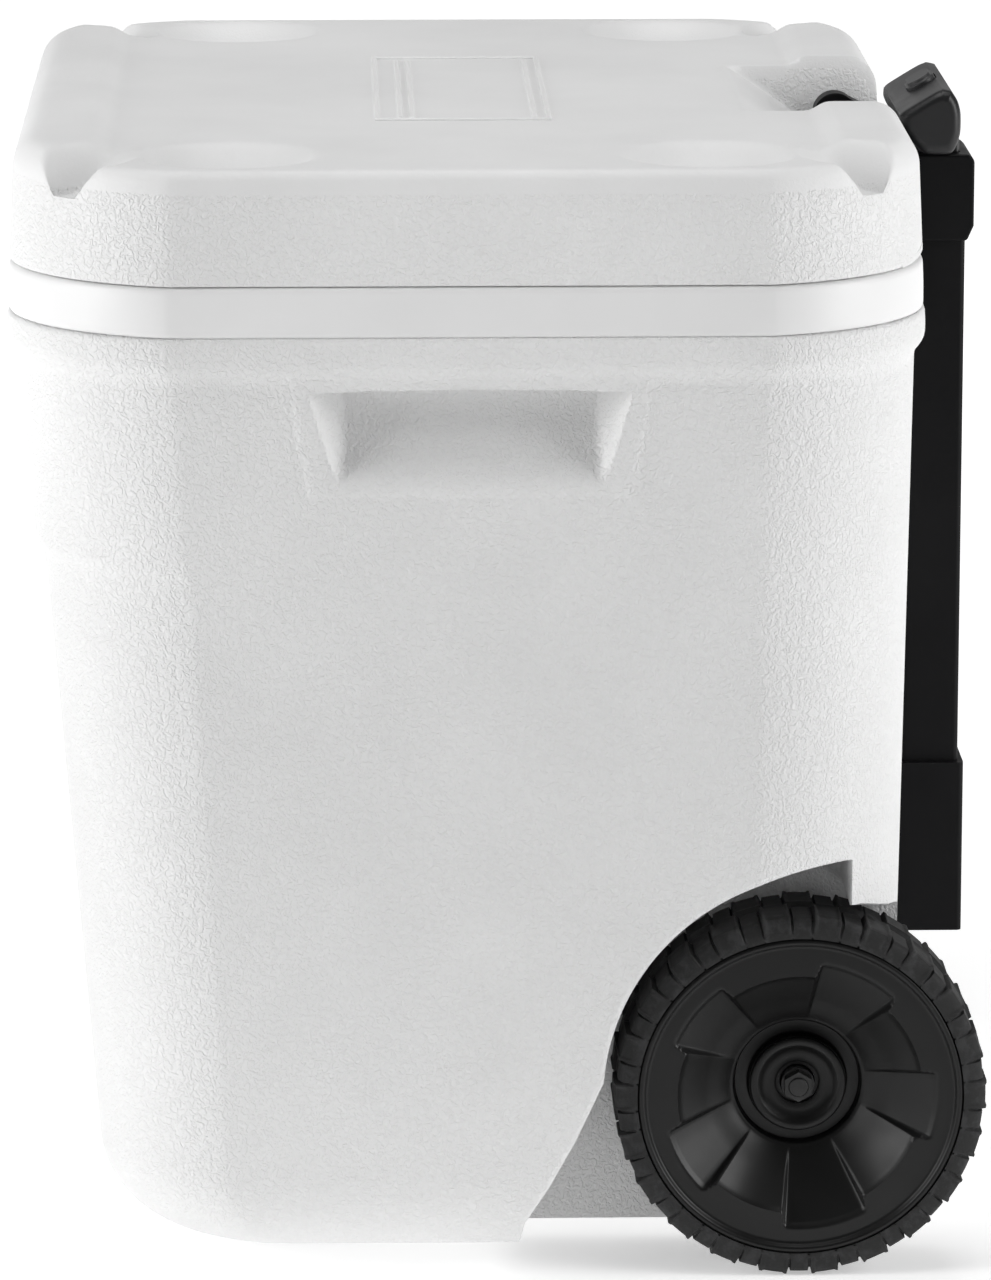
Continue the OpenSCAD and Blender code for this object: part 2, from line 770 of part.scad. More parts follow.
module grip_front() {
    color([0.1, 0.1, 0.1]) difference() {
        grip_form();
        block(-far, far, grip_split, far, 0, far);
        grip_hollow();
    }
}

module grip_back() {
    color([0.1, 0.1, 0.1]) difference() {
        grip_form();
        block(-far, far, -far, grip_split + 0.02, 0, far);
        grip_hollow();
    }
}

module grip_screws() {
    color("silver") for (x = [-40, 40]) {
        rod_y_axis(grip_split - 8, grip_back_y - 4, x, grip_z - 18, screw_r - 0.52);
        rod_y_axis(grip_back_y - 4, grip_back_y - 1.5, x, grip_z - 18, 3.9);
    }
}

module button() {
    color([0.2, 0.2, 0.2]) button_frame() {
        translate([0, 0, -4]) button_oval(8, 6);
        translate([0, 0, 2]) button_oval(6.6, 1.8);
    }
}

// ---------- lid ----------

function lid_rows(d) = [
    [seam_z + rest_gap + (d > 0 ? -1 : 0), hx0 - 2 - d, hy0 - 1.5 - d, hy0 - 1.5 - d],
    [seam_z + 46 - d / 2, hx0 - 5 - d, hy0 - 3.5 - d, hy0 - 3.5 - d],
    [seam_z + 54 - d / 2, hx0 - 8 - d, hy0 - 7 - d, hy0 - 7 - d],
    [total_height - 3 - d, hx0 - 14 - d, hy0 - 14 - d, hy0 - 14 - d],
    [total_height - d, hx0 - 24 - d, hy0 - 24 - d, hy0 - 24 - d]
];

panel_y = hy0 - 46;
cup_x = hx0 - 62;
cup_y = hy0 - 112;
scoop_y = hy0 - 86;
scoop_lean = 14;
channel_floor = total_height - 24;

// Scoop behind the tow handle, seen along X, grown by g.
module scoop_profile(g) {
    polygon([
        [scoop_y - g, panel_z + 0.01], [hinge_y - 11, hinge_z - 10 - g], [hy0 + 1, hinge_z - 19.5 - g],
        [hy0 + 30, hinge_z - 19.5 - g], [hy0 + 30, far], [scoop_y - g, far]
    ]);
}

module scoop_front(g) {
    polygon([
        [-scoop_half - g, 0], [-scoop_half - g, hinge_z - 12], [-scoop_half - scoop_lean - g, total_height + 1],
        [scoop_half + scoop_lean + g, total_height + 1], [scoop_half + g, hinge_z - 12], [scoop_half + g, 0]
    ]);
}

// Hollows of the lid's top, grown by g into the material.
module lid_hollows(g) {
    block(-far, far, -panel_y - g, panel_y + g, panel_z - g, far);
    for (sx = [-1, 1], sy = [-1, 1])
        translate([sx * cup_x, sy * cup_y, panel_z - cup_depth - g])
            cylinder(h = far, r1 = cup_r - 9 + g, r2 = cup_r - 9 + g + (far - 30));
    intersection() {
        along_x(-scoop_half - 60, scoop_half + 60) scoop_profile(g);
        along_y(-far, far) scoop_front(g);
    }
    for (sx = [-1, 1], sy = [-1, 1])
        translate([sx * (hx0 - 50), sy * (hy0 - 44), 0]) rotate([0, 0, sx * sy * 40])
            along_x(sx > 0 ? -26 - g : -far, sx > 0 ? far : 26 + g)
                polygon([[-9 - g, channel_floor - g], [9 + g, channel_floor - g], [26 + g, total_height + 1],
                         [-26 - g, total_height + 1]]);
}

// What the back edge sweeps as the lid opens, grown by g into the lid.
module back_relief(g) {
    difference() {
        block(-far, far, hinge_y, far, 0, hinge_z);
        rod_x(-far, far, hinge_y, hinge_z, hinge_z - seam_z - rest_gap - g);
    }
}

ear_screw_r = 1.8;
ear_boss_r = 8;
ear_boss = 10;

module ear_holes(g) {
    both() {
        rod_x(0, scoop_half + ear_boss + g, hinge_y, hinge_z, ear_boss_r + g);
        rod_x(0, scoop_half + lid_skin + g, hinge_y - 13, hinge_z + 6, ear_screw_r + 0.02);
    }
}

module lid_shell() {
    color("white") difference() {
        loft(lid_rows(0));
        lid_hollows(0);
        difference() {
            loft(lid_rows(lid_skin));
            lid_hollows(lid_skin);
            back_relief(lid_skin);
            both() rod_x(scoop_half - 8, scoop_half + ear_boss + 3, hinge_y, hinge_z, ear_boss_r + 3);
        }
        back_relief(0);
        ear_holes(0);
    }
}

module lid_foam() {
    color("khaki") difference() {
        intersection() {
            loft(lid_rows(lid_skin + eps));
            block(-far, far, -far, far, seam_z + rest_gap + 3 + eps, far);
        }
        lid_hollows(lid_skin + eps);
        both() rod_x(scoop_half - 8, scoop_half + ear_boss + 3 + eps, hinge_y, hinge_z, ear_boss_r + 3 + eps);
        back_relief(lid_skin + eps);
    }
}

plug_gap = 4;

module lid_liner() {
    lx = opening_x - plug_gap;
    ly = opening_y - plug_gap;
    z0 = seam_z + rest_gap;
    d = lid_skin + eps;
    color("white") difference() {
        union() {
            intersection() {
                loft(lid_rows(d));
                block(-far, far, -far, hinge_y - eps, z0, z0 + 3);
            }
            loft([[z0 - lid_plug, lx - 2, ly - 2, ly - 2], [z0 - lid_plug + 3, lx, ly, ly], [z0 + 1, lx, ly, ly]]);
        }
        loft([[z0 - lid_plug + 3, lx - 5, ly - 5, ly - 5], [z0 + 0.5, lx - 3, ly - 3, ly - 3]]);
    }
}

// Black hinge leaf on the scoop's side wall, with a rounded nose towards the front.
module hinge_ear() {
    color([0.08, 0.08, 0.08]) difference() {
        union() {
            along_x(ear_x0, ear_x1) {
                translate([hinge_y, hinge_z]) circle(r = knuckle_r - 0.5);
                translate([hinge_y - 12, hinge_z + 6]) circle(r = knuckle_r - 0.5);
                polygon([[hinge_y - 16, hinge_z - 4], [hinge_y, hinge_z - knuckle_r + 0.6],
                         [hinge_y + 5, hinge_z + knuckle_r - 2.2], [hinge_y - 9, hinge_z + 6 + knuckle_r - 1]]);
            }
            rod_x(ear_x0, scoop_half + ear_boss - 0.1, hinge_y, hinge_z, ear_boss_r - 0.02);
        }
        rod_x(0, scoop_half + 4, hinge_y, hinge_z, pin_r + run);
        rod_x(0, scoop_half + 4, hinge_y - 13, hinge_z + 6, ear_screw_r + 0.02);
    }
}

module ear_screws() {
    color("silver") both() rod_x(ear_x0 + 6, scoop_half + lid_skin - 0.2, hinge_y - 13, hinge_z + 6, ear_screw_r);
}

plaque_x = hx0 - 177;
plaque_y = hy0 - 186;

module lid_plaque() {
    z = panel_z;
    color("white") difference() {
        translate([0, 0, z]) linear_extrude(1.6) round_rect(-plaque_x, plaque_x, -plaque_y, plaque_y, 6);
        translate([0, 0, z - 1]) linear_extrude(4) round_rect(-plaque_x + 6, plaque_x - 6, -plaque_y + 6, plaque_y - 6, 3);
    }
}

placed() body_shell();
placed() body_foam();
placed() liner();
placed() collar_frame();
placed() front_foot(-1);  // front_foot_left
placed() front_foot(1);  // front_foot_right
placed() drain_spout();
placed() drain_washer();
placed() drain_nut();
placed() drain_cap();
placed() drain_seal();
placed() axle();
placed() mirror([1, 0, 0]) axle_sleeve();  // axle_sleeve_left
placed() axle_sleeve();  // axle_sleeve_right
placed() mirror([1, 0, 0]) axle_washer();  // axle_washer_left
placed() axle_washer();  // axle_washer_right
placed() mirror([1, 0, 0]) axle_nut();  // axle_nut_left
placed() axle_nut();  // axle_nut_right
placed() mirror([1, 0, 0]) tyre();  // tyre_left
placed() tyre();  // tyre_right
placed() mirror([1, 0, 0]) wheel_disc();  // wheel_disc_left
placed() wheel_disc();  // wheel_disc_right
placed() mirror([1, 0, 0]) wheel_bushing();  // wheel_bushing_left
placed() wheel_bushing();  // wheel_bushing_right
placed() mirror([1, 0, 0]) hub_ring();  // hub_ring_left
placed() hub_ring();  // hub_ring_right
placed() outer_tube();
placed() tube_collar();
placed() tube_shoe();
placed() shoe_screws();
placed() hinge_bracket();
placed() bracket_screws();
placed() mirror([1, 0, 0]) hinge_pin();  // hinge_pin_left
placed() hinge_pin();  // hinge_pin_right
placed() inner_tube();
placed() slide_plug();
placed() latch_block();
placed() spring_seat();
placed() grip_front();
placed() grip_back();
placed() grip_screws();
placed() button();
placed() push_rod();
placed() button_spring();
placed() latch_pin();
placed() lid_shell();
placed() lid_foam();
placed() lid_liner();
placed() mirror([1, 0, 0]) hinge_ear();  // hinge_ear_left
placed() hinge_ear();  // hinge_ear_right
placed() ear_screws();
placed() lid_plaque();
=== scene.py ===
"""Looks for the wheeled cooler: mouldings, tyres, wheels, handle and materials on the CAD frame."""

import json
import math

import bmesh
import bpy
import numpy as np
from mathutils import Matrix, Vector

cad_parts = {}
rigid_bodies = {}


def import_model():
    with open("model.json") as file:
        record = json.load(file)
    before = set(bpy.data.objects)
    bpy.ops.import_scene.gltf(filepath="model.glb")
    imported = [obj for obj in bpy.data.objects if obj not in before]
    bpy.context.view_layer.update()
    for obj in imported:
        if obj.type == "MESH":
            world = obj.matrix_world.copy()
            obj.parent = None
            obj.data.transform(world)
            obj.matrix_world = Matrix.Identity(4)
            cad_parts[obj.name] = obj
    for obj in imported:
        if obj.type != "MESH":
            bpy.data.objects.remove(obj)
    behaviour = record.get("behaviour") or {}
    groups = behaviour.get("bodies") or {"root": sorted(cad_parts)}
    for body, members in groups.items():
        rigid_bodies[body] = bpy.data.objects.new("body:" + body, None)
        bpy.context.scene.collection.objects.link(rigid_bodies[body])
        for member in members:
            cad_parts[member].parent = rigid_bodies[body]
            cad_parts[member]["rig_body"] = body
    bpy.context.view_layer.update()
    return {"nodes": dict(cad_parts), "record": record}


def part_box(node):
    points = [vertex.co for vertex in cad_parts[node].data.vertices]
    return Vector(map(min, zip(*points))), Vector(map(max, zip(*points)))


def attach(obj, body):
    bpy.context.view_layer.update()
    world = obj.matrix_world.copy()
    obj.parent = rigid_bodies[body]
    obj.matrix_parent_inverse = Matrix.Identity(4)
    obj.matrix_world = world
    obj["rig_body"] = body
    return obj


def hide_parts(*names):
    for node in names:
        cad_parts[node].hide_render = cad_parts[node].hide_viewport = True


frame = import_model()
MM = 0.001


def mm_box(node):
    """Corners of a CAD node in millimetres, with Y measured from the middle of the body."""
    low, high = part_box(node)
    return np.array(low) / MM - [0, Y_MID, 0], np.array(high) / MM - [0, Y_MID, 0]


# ---------- driving sizes, read from the frame (millimetres) ----------
shell_low, shell_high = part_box("body_shell")
Y_MID = (shell_low[1] + shell_high[1]) / 2 / MM
HX = shell_high[0] / MM
HY = (shell_high[1] - shell_low[1]) / 2 / MM
GROUND = shell_low[2] / MM
COLLAR_Z = shell_high[2] / MM
lid_low, lid_high = mm_box("lid_shell")
SEAM_Z = lid_low[2] - 0.3
TOP_Z = lid_high[2]
tyre_low, tyre_high = mm_box("tyre_right")
WHEEL_X0, WHEEL_X1 = tyre_low[0], tyre_high[0]
WHEEL_MID = (WHEEL_X0 + WHEEL_X1) / 2
AXLE_Y = (tyre_low[1] + tyre_high[1]) / 2
AXLE_Z = (tyre_low[2] + tyre_high[2]) / 2
WHEEL_R = (tyre_high[2] - tyre_low[2]) / 2

# ---------- sizes that the frame doesn't state ----------
RIM_BAND = 17           # height of the bulged band under the collar
BAND_Z = COLLAR_Z - RIM_BAND
STEP_Z = BAND_Z - 105   # height of the small ledge across the front
LEDGE = 4               # how far the front steps back there
BOTTOM_R = 52           # rounding between the faces and the underside
CREASE = 150 / 231.5 * HY   # where the end panel turns into the corner
WELL_X = WHEEL_X0 - 12  # inner wall of the wheel wells
SKIN = 3
PANEL_Z = TOP_Z - 6     # sunken middle of the lid
END_INSET, FACE_INSET = 4, 5    # how far the faces stand behind the rim
END_DRAFT, FRONT_DRAFT, BACK_DRAFT = 0.028, 0.078, 0.0145
GRIP_TILT = 30          # tilt of the button, in degrees
SHARP = 30              # edges sharper than this many degrees are rounded


def smooth(t):
    t = np.clip(t, 0, 1)
    return t * t * (3 - 2 * t)


def soft_min(a, b, k):
    h = np.clip(0.5 + 0.5 * (b - a) / k, 0, 1)
    return b * (1 - h) + a * h - k * h * (1 - h)


def soft_max(a, b, k):
    return -soft_min(-a, -b, k)


def lines(low, high, step, dense=()):
    """Grid lines from low to high, closer together inside the dense spans (centre, half width, step)."""
    out, v = [], low
    while v < high - 1e-6:
        out.append(v)
        d = min([step] + [s for c, w, s in dense if c - w - s <= v <= c + w])
        v += d
    out.append(high)
    if len(out) > 2 and out[-1] - out[-2] < step * 0.3:
        out.pop(-2)
    return np.array(out)


# ---------- mesh helpers ----------
def quads(rows, cols, wrap=True, flip=False, start=0):
    """Quads between neighbouring rows of a grid of points."""
    i, j = np.meshgrid(np.arange(rows - 1), np.arange(cols if wrap else cols - 1), indexing="ij")
    k = (j + 1) % cols
    below, above = i * cols, (i + 1) * cols
    q = np.stack([below + j, below + k, above + k, above + j], -1).reshape(-1, 4) + start
    return (q[:, ::-1] if flip else q).tolist()


def closing(rows, cols, start=0):
    """Quads that join the last row of a wrapped grid back to its first."""
    last = start + (rows - 1) * cols
    return [[last + j, last + (j + 1) % cols, start + (j + 1) % cols, start + j] for j in range(cols)]


def end_caps(rows, cols):
    """One face over each end of a wrapped grid."""
    return [list(range(cols))[::-1], [(rows - 1) * cols + j for j in range(cols)]]


def raw_mesh(name, points, faces):
    """A mesh object from points in millimetres, with Y measured from the body's middle."""
    mesh = bpy.data.meshes.new(name)
    pts = np.asarray(points, float).reshape(-1, 3)
    pts = (pts + [0, Y_MID, 0]) * MM
    mesh.from_pydata(pts.tolist(), [], [list(f) for f in faces])
    mesh.validate()
    obj = bpy.data.objects.new(name, mesh)
    bpy.context.scene.collection.objects.link(obj)
    return obj


def outward(obj):
    """Turns every face outward."""
    bm = bmesh.new()
    bm.from_mesh(obj.data)
    bmesh.ops.recalc_face_normals(bm, faces=bm.faces)
    bm.to_mesh(obj.data)
    bm.free()
    return obj


def cut(obj, tool, how="DIFFERENCE"):
    """Applies a boolean with the tool, which is used up."""
    mod = obj.modifiers.new("cut", "BOOLEAN")
    mod.operation = how
    mod.object = tool
    mod.solver = "MANIFOLD"
    graph = bpy.context.evaluated_depsgraph_get()
    made = bpy.data.meshes.new_from_object(obj.evaluated_get(graph))
    obj.modifiers.clear()
    if len(made.polygons) == 0:
        raise RuntimeError("empty result when cutting " + obj.name)
    obj.data = made
    bpy.data.objects.remove(tool)
    return obj


def finish_piece(obj, body, materials, replaces=(), angle=38, weighted=True):
    """Gives a piece its materials and shading, ties it to its body, and hides the CAD nodes it stands in
    for.
    """
    mesh = obj.data
    mesh.materials.clear()
    for m in materials:
        mesh.materials.append(m)
    mesh.polygons.foreach_set("material_index", [0] * len(mesh.polygons))
    mesh.shade_smooth()
    mesh.set_sharp_from_angle(angle=math.radians(angle))
    if weighted:
        mod = obj.modifiers.new("normals", "WEIGHTED_NORMAL")
        mod.keep_sharp = True
    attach(obj, body)
    if replaces:
        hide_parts(*replaces)
    return obj


def round_edges(bm, width, segments):
    """Rounds the sharp edges of a bmesh by a width in millimetres."""
    edges = [e for e in bm.edges if len(e.link_faces) == 2 and e.calc_face_angle(0) > math.radians(SHARP)]
    bmesh.ops.bevel(bm, geom=edges, offset=width * MM, segments=segments, profile=0.5, affect="EDGES",
                    clamp_overlap=True)


def bevel(obj, width):
    bm = bmesh.new()
    bm.from_mesh(obj.data)
    bmesh.ops.remove_doubles(bm, verts=bm.verts, dist=1e-7)
    round_edges(bm, width, 3)
    bm.to_mesh(obj.data)
    bm.free()
    return obj


def prism(name, profile, a0, a1, axis="X"):
    """Extrusion of a (u, v) outline: along X it is (Y, Z), along Y it is (X, Z), along Z it is (X, Y)."""
    n = len(profile)
    pts = []
    for a in (a0, a1):
        for u, v in profile:
            pts.append({"X": (a, u, v), "Y": (u, a, v), "Z": (u, v, a)}[axis])
    faces = [list(range(n))[::-1], list(range(n, 2 * n))]
    faces += [[i, (i + 1) % n, n + (i + 1) % n, n + i] for i in range(n)]
    return outward(raw_mesh(name, pts, faces))


def cuboid(name, x0, x1, y0, y1, z0, z1):
    """A plain box, used only as a cutting tool or a bar of a larger piece."""
    return prism(name, [(x0, y0), (x1, y0), (x1, y1), (x0, y1)], z0, z1, "Z")


def ring_profile(name, profile, centre, steps=96, closed=True):
    """Turns a profile of (along, radius) about an axis along X through centre = (y, z)."""
    ang = np.arange(steps) * 2 * math.pi / steps
    rows = [[(a, centre[0] + r * math.cos(t), centre[1] + r * math.sin(t)) for t in ang] for a, r in profile]
    n = len(rows)
    faces = quads(n, steps) + (closing(n, steps) if closed else end_caps(n, steps))
    return outward(raw_mesh(name, np.array(rows), faces))


# ---------- materials ----------
def grey(v):
    return (v, v, v)


def shader(name, color, rough, build, metallic=0.0, spec=0.5):
    mat = bpy.data.materials.new(name)
    mat.use_nodes = True
    tree = mat.node_tree
    bsdf = tree.nodes["Principled BSDF"]
    bsdf.inputs["Base Color"].default_value = (*color, 1)
    bsdf.inputs["Roughness"].default_value = rough
    bsdf.inputs["Metallic"].default_value = metallic
    bsdf.inputs["Specular IOR Level"].default_value = spec
    coords = tree.nodes.new("ShaderNodeTexCoord")
    build(tree, bsdf, coords.outputs["Object"])
    return mat


def noise(tree, vec, scale, detail=2.0, rough=0.5, distortion=0.0):
    n = tree.nodes.new("ShaderNodeTexNoise")
    n.inputs["Scale"].default_value = scale
    n.inputs["Detail"].default_value = detail
    n.inputs["Roughness"].default_value = rough
    n.inputs["Distortion"].default_value = distortion
    tree.links.new(vec, n.inputs["Vector"])
    return n.outputs["Fac"]


def remap(tree, value, a, b, c, d):
    n = tree.nodes.new("ShaderNodeMapRange")
    n.interpolation_type = "SMOOTHSTEP"
    for key, v in (("From Min", a), ("From Max", b), ("To Min", c), ("To Max", d)):
        n.inputs[key].default_value = v
    tree.links.new(value, n.inputs["Value"])
    return n.outputs["Result"]


def stretch(tree, vec, scale):
    n = tree.nodes.new("ShaderNodeMapping")
    n.inputs["Scale"].default_value = scale
    tree.links.new(vec, n.inputs["Vector"])
    return n.outputs["Vector"]


def bump(tree, bsdf, height, strength, distance):
    n = tree.nodes.new("ShaderNodeBump")
    n.inputs["Strength"].default_value = strength
    n.inputs["Distance"].default_value = distance
    tree.links.new(height, n.inputs["Height"])
    tree.links.new(n.outputs["Normal"], bsdf.inputs["Normal"])


def add(tree, a, b, factor=1.0):
    n = tree.nodes.new("ShaderNodeMath")
    n.operation = "MULTIPLY_ADD"
    n.inputs[1].default_value = factor
    tree.links.new(b, n.inputs[0])
    tree.links.new(a, n.inputs[2])
    return n.outputs[0]


def tint(tree, bsdf, value, dark, light):
    n = tree.nodes.new("ShaderNodeMix")
    n.data_type = "RGBA"
    n.inputs[6].default_value = (*dark, 1)
    n.inputs[7].default_value = (*light, 1)
    tree.links.new(value, n.inputs[0])
    tree.links.new(n.outputs[2], bsdf.inputs["Base Color"])


def grain_build(strength, depth, scale):
    def build(tree, bsdf, vec):
        worms = noise(tree, vec, scale, 1.5, 0.45, 0.9)
        pebble = remap(tree, worms, 0.38, 0.62, 0.0, 1.0)
        fine = noise(tree, vec, scale * 4.1, 2.0, 0.6)
        height = add(tree, pebble, fine, 0.22)
        bump(tree, bsdf, height, strength, depth)
        cloud = noise(tree, vec, 5.0, 3.0, 0.6)
        tint(tree, bsdf, remap(tree, cloud, 0.3, 0.7, 0.0, 1.0), grey(0.80), grey(0.86))
        tree.links.new(remap(tree, worms, 0.35, 0.65, 0.60, 0.48), bsdf.inputs["Roughness"])
    return build


CLOUD = 14.0            # scale of the slow changes in a satin surface


def satin_build(scale, depth, low, high, dark, light):
    def build(tree, bsdf, vec):
        fine = noise(tree, vec, scale, 3.0, 0.6)
        bump(tree, bsdf, fine, 0.35, depth)
        cloud = noise(tree, vec, CLOUD, 4.0, 0.6)
        tree.links.new(remap(tree, cloud, 0.3, 0.7, low, high), bsdf.inputs["Roughness"])
        shade = noise(tree, vec, CLOUD * 0.6, 3.0)
        tint(tree, bsdf, remap(tree, shade, 0.3, 0.7, 0, 1), dark, light)
    return build


def brushed_build(low, high, dark, light):
    def build(tree, bsdf, vec):
        streak = noise(tree, stretch(tree, vec, (60, 900, 900)), 1.0, 3.0, 0.6)
        bump(tree, bsdf, streak, 0.2, 0.00003)
        tree.links.new(remap(tree, streak, 0.3, 0.7, low, high), bsdf.inputs["Roughness"])
        tint(tree, bsdf, remap(tree, noise(tree, vec, 60.0, 3.0), 0.3, 0.7, 0, 1), dark, light)
    return build


def foam_build(tree, bsdf, vec):
    cells = tree.nodes.new("ShaderNodeTexVoronoi")
    cells.inputs["Scale"].default_value = 700
    tree.links.new(vec, cells.inputs["Vector"])
    bump(tree, bsdf, cells.outputs["Distance"], 0.6, 0.0006)
    cloud = remap(tree, noise(tree, vec, 20.0), 0.3, 0.7, 0, 1)
    tint(tree, bsdf, cloud, (0.72, 0.66, 0.45), (0.8, 0.75, 0.55))


def dusty_build(tree, bsdf, vec):
    fine = noise(tree, vec, 900.0, 3.0, 0.6)
    blotch = noise(tree, vec, 110.0, 4.0, 0.65)
    bump(tree, bsdf, add(tree, fine, blotch, 0.8), 0.5, 0.00025)
    dust = remap(tree, blotch, 0.42, 0.68, 0.0, 1.0)
    tint(tree, bsdf, dust, (0.007, 0.007, 0.007), (0.035, 0.035, 0.036))
    tree.links.new(remap(tree, blotch, 0.3, 0.7, 0.62, 0.86), bsdf.inputs["Roughness"])


MATS = {
    "shell_white": shader("shell_grain", grey(0.83), 0.55, grain_build(0.8, 0.0004, 430.0)),
    "lid_top": shader("lid_top_grain", grey(0.83), 0.5, grain_build(0.3, 0.00016, 640.0)),
    "smooth_white": shader("smooth_white", grey(0.85), 0.4,
                           satin_build(900, 0.00006, 0.34, 0.46, grey(0.82), grey(0.87))),
    "foam": shader("foam", (0.8, 0.74, 0.5), 0.9, foam_build),
    "fitting_white": shader("fitting_white", grey(0.75), 0.45,
                            satin_build(800, 0.0001, 0.36, 0.52, grey(0.70), grey(0.78))),
    "seal_rubber": shader("seal_rubber", grey(0.02), 0.75,
                          satin_build(700, 0.0001, 0.65, 0.85, grey(0.015), grey(0.03))),
    "tyre_black": shader("tyre_black", grey(0.02), 0.75, dusty_build),
    "wheel_black": shader("wheel_black", grey(0.007), 0.34,
                          satin_build(700, 0.00005, 0.27, 0.40, grey(0.005), grey(0.009)), spec=0.3),
    "bearing_grey": shader("bearing_grey", grey(0.2), 0.5,
                           satin_build(600, 0.0001, 0.4, 0.6, grey(0.17), grey(0.24))),
    "handle_black": shader("handle_black", (0.011, 0.011, 0.012), 0.5,
                           satin_build(1100, 0.00012, 0.42, 0.58, (0.004, 0.004, 0.0045),
                                       (0.007, 0.007, 0.0075)), spec=0.12),
    "tube_metal": shader("tube_metal", (0.012, 0.012, 0.013), 0.35,
                         satin_build(500, 0.00004, 0.28, 0.42, (0.010, 0.010, 0.011),
                                     (0.016, 0.016, 0.017))),
    "grip_black": shader("grip_black", (0.022, 0.022, 0.023), 0.55,
                         satin_build(900, 0.00016, 0.36, 0.48, (0.006, 0.006, 0.0065),
                                     (0.010, 0.010, 0.011)), spec=0.42),
    "button_black": shader("button_black", (0.03, 0.03, 0.031), 0.42,
                           satin_build(900, 0.00008, 0.36, 0.5, (0.026, 0.026, 0.027),
                                       (0.036, 0.036, 0.037))),
    "steel": shader("steel", grey(0.45), 0.35, brushed_build(0.26, 0.44, grey(0.38), grey(0.5)),
                    metallic=1.0),
    "steel_black": shader("steel_black", grey(0.02), 0.4, brushed_build(0.3, 0.5, grey(0.012), grey(0.03)),
                          spec=0.4),
}
SLOT_OF = {s["node"]: s["material_slot"] for s in frame["record"]["subparts"]}


# ---------- plan outline ----------
def bezier(a, b, c, d, t):
    return a * (1 - t) ** 3 + 3 * b * t * (1 - t) ** 2 + 3 * c * t * t * (1 - t) + d * t ** 3


def corner(hx, hy, t):
    """The rounded corner from the end panel's crease (t = 0) to the long side (t = 1)."""
    crease = CREASE * hy / HY
    x = bezier(hx, hx - 12, hx - 48, hx - 100, t)
    y = bezier(crease, crease + 44, hy, hy, t)
    return x, y


CORNER_T = np.concatenate([[0.012], np.linspace(0.05, 1, 24)])


def end_lines(dense):
    """Places along the end panel as shares of the crease, closer together where a feature needs it."""
    half = lines(0, CREASE - 1.5, 9, dense)
    return np.concatenate([-half[:0:-1], half]) / CREASE


SIDE_N = 16


def outline(hx, yf, yb, panel):
    """Counter-clockwise plan outline, with the end panels flat between their creases."""
    fx, fy = corner(hx, yf, CORNER_T)
    bx, by = corner(hx, yb, CORNER_T)
    py = np.where(panel > 0, panel * CREASE * yb / HY, panel * CREASE * yf / HY)
    x = np.concatenate([fx[::-1], np.full(len(panel), hx), bx])
    y = np.concatenate([-fy[::-1], py, by])
    k = np.linspace(1, -1, SIDE_N + 1)[1:-1] * (hx - 100)
    right = np.stack([x, y], -1)
    left = np.stack([-x[::-1], y[::-1]], -1)
    back = np.stack([k, np.full(len(k), yb)], -1)
    front = np.stack([-k, np.full(len(k), -yf)], -1)
    return np.concatenate([right, back, left, front])


def level(z, hx, yf, yb, panel):
    """The plan outline as points at one height."""
    plan = outline(hx, yf, yb, panel)
    return np.c_[plan, np.full(len(plan), z)]


def loft(name, rows, panel, shape):
    """Closed solid through rows of (z, half length, front, back); shape moves its points."""
    rings = shape(np.array([level(z, hx, yf, yb, panel) for z, hx, yf, yb in rows]))
    n = rings.shape[1]
    return raw_mesh(name, rings, quads(len(rows), n) + end_caps(len(rows), n))


# ---------- body ----------
def side_x(z):
    return HX - END_INSET - (BAND_Z - z) * END_DRAFT


def step_share(z):
    return LEDGE * smooth((STEP_Z + 6 - z) / 11)


def side_f(z):
    return HY - FACE_INSET - (BAND_Z - z) * FRONT_DRAFT - step_share(z)


def side_b(z):
    return HY - FACE_INSET - (BAND_Z - z) * BACK_DRAFT


HOLD_Z1 = BAND_Z - 10       # top of the hand-hold
HOLD_Z0 = HOLD_Z1 - 46      # its bottom
HOLD_W = 80                 # half its width at the top
HOLD_DEEP = 26
HOLD_TAPER = 14             # how much less that is at the bottom
HOLD_WALL = 13              # width of the slope at its sides
HOLD_ROUND = 12             # height of the part behind the top edge that is fully deep
ARCH_DROP = 1.6             # how far the top edge drops at the sides
ROOF_STEEP = 22
STRIP_W, STRIP_RISE, STRIP_EDGE = 11, 1.1, 4.5      # the raised strip round it


def hold_shape(y, z):
    """Depth of the hand-hold below the end face, with the raised strip round it as a negative depth."""
    up = (z - HOLD_Z0) / (HOLD_Z1 - HOLD_Z0)
    wide = HOLD_W - HOLD_TAPER * (1 - up)
    sides = (wide - np.abs(y)) * HOLD_DEEP / HOLD_WALL
    slope = (z - HOLD_Z0) * HOLD_DEEP / (HOLD_Z1 - HOLD_ROUND - HOLD_Z0)
    floor = soft_min(slope, np.full_like(z, HOLD_DEEP), 5)
    arch = HOLD_Z1 + 0.6 - ARCH_DROP * (np.abs(y) / HOLD_W) ** 2
    roof = (arch - z) * ROOF_STEEP
    deep = soft_min(soft_min(sides, floor, 6), roof, 2)
    deep = soft_max(deep, np.zeros_like(z), 2.2)
    beside = HOLD_W + STRIP_W - 8 * (1 - up) - np.abs(y)
    out = np.minimum(beside, np.minimum(z - HOLD_Z0 + 9, BAND_Z - 1.5 - z))
    strip = STRIP_RISE * smooth(out / STRIP_EDGE)
    return deep - strip * np.clip(1 - (deep - 0.6) / 3, 0, 1)


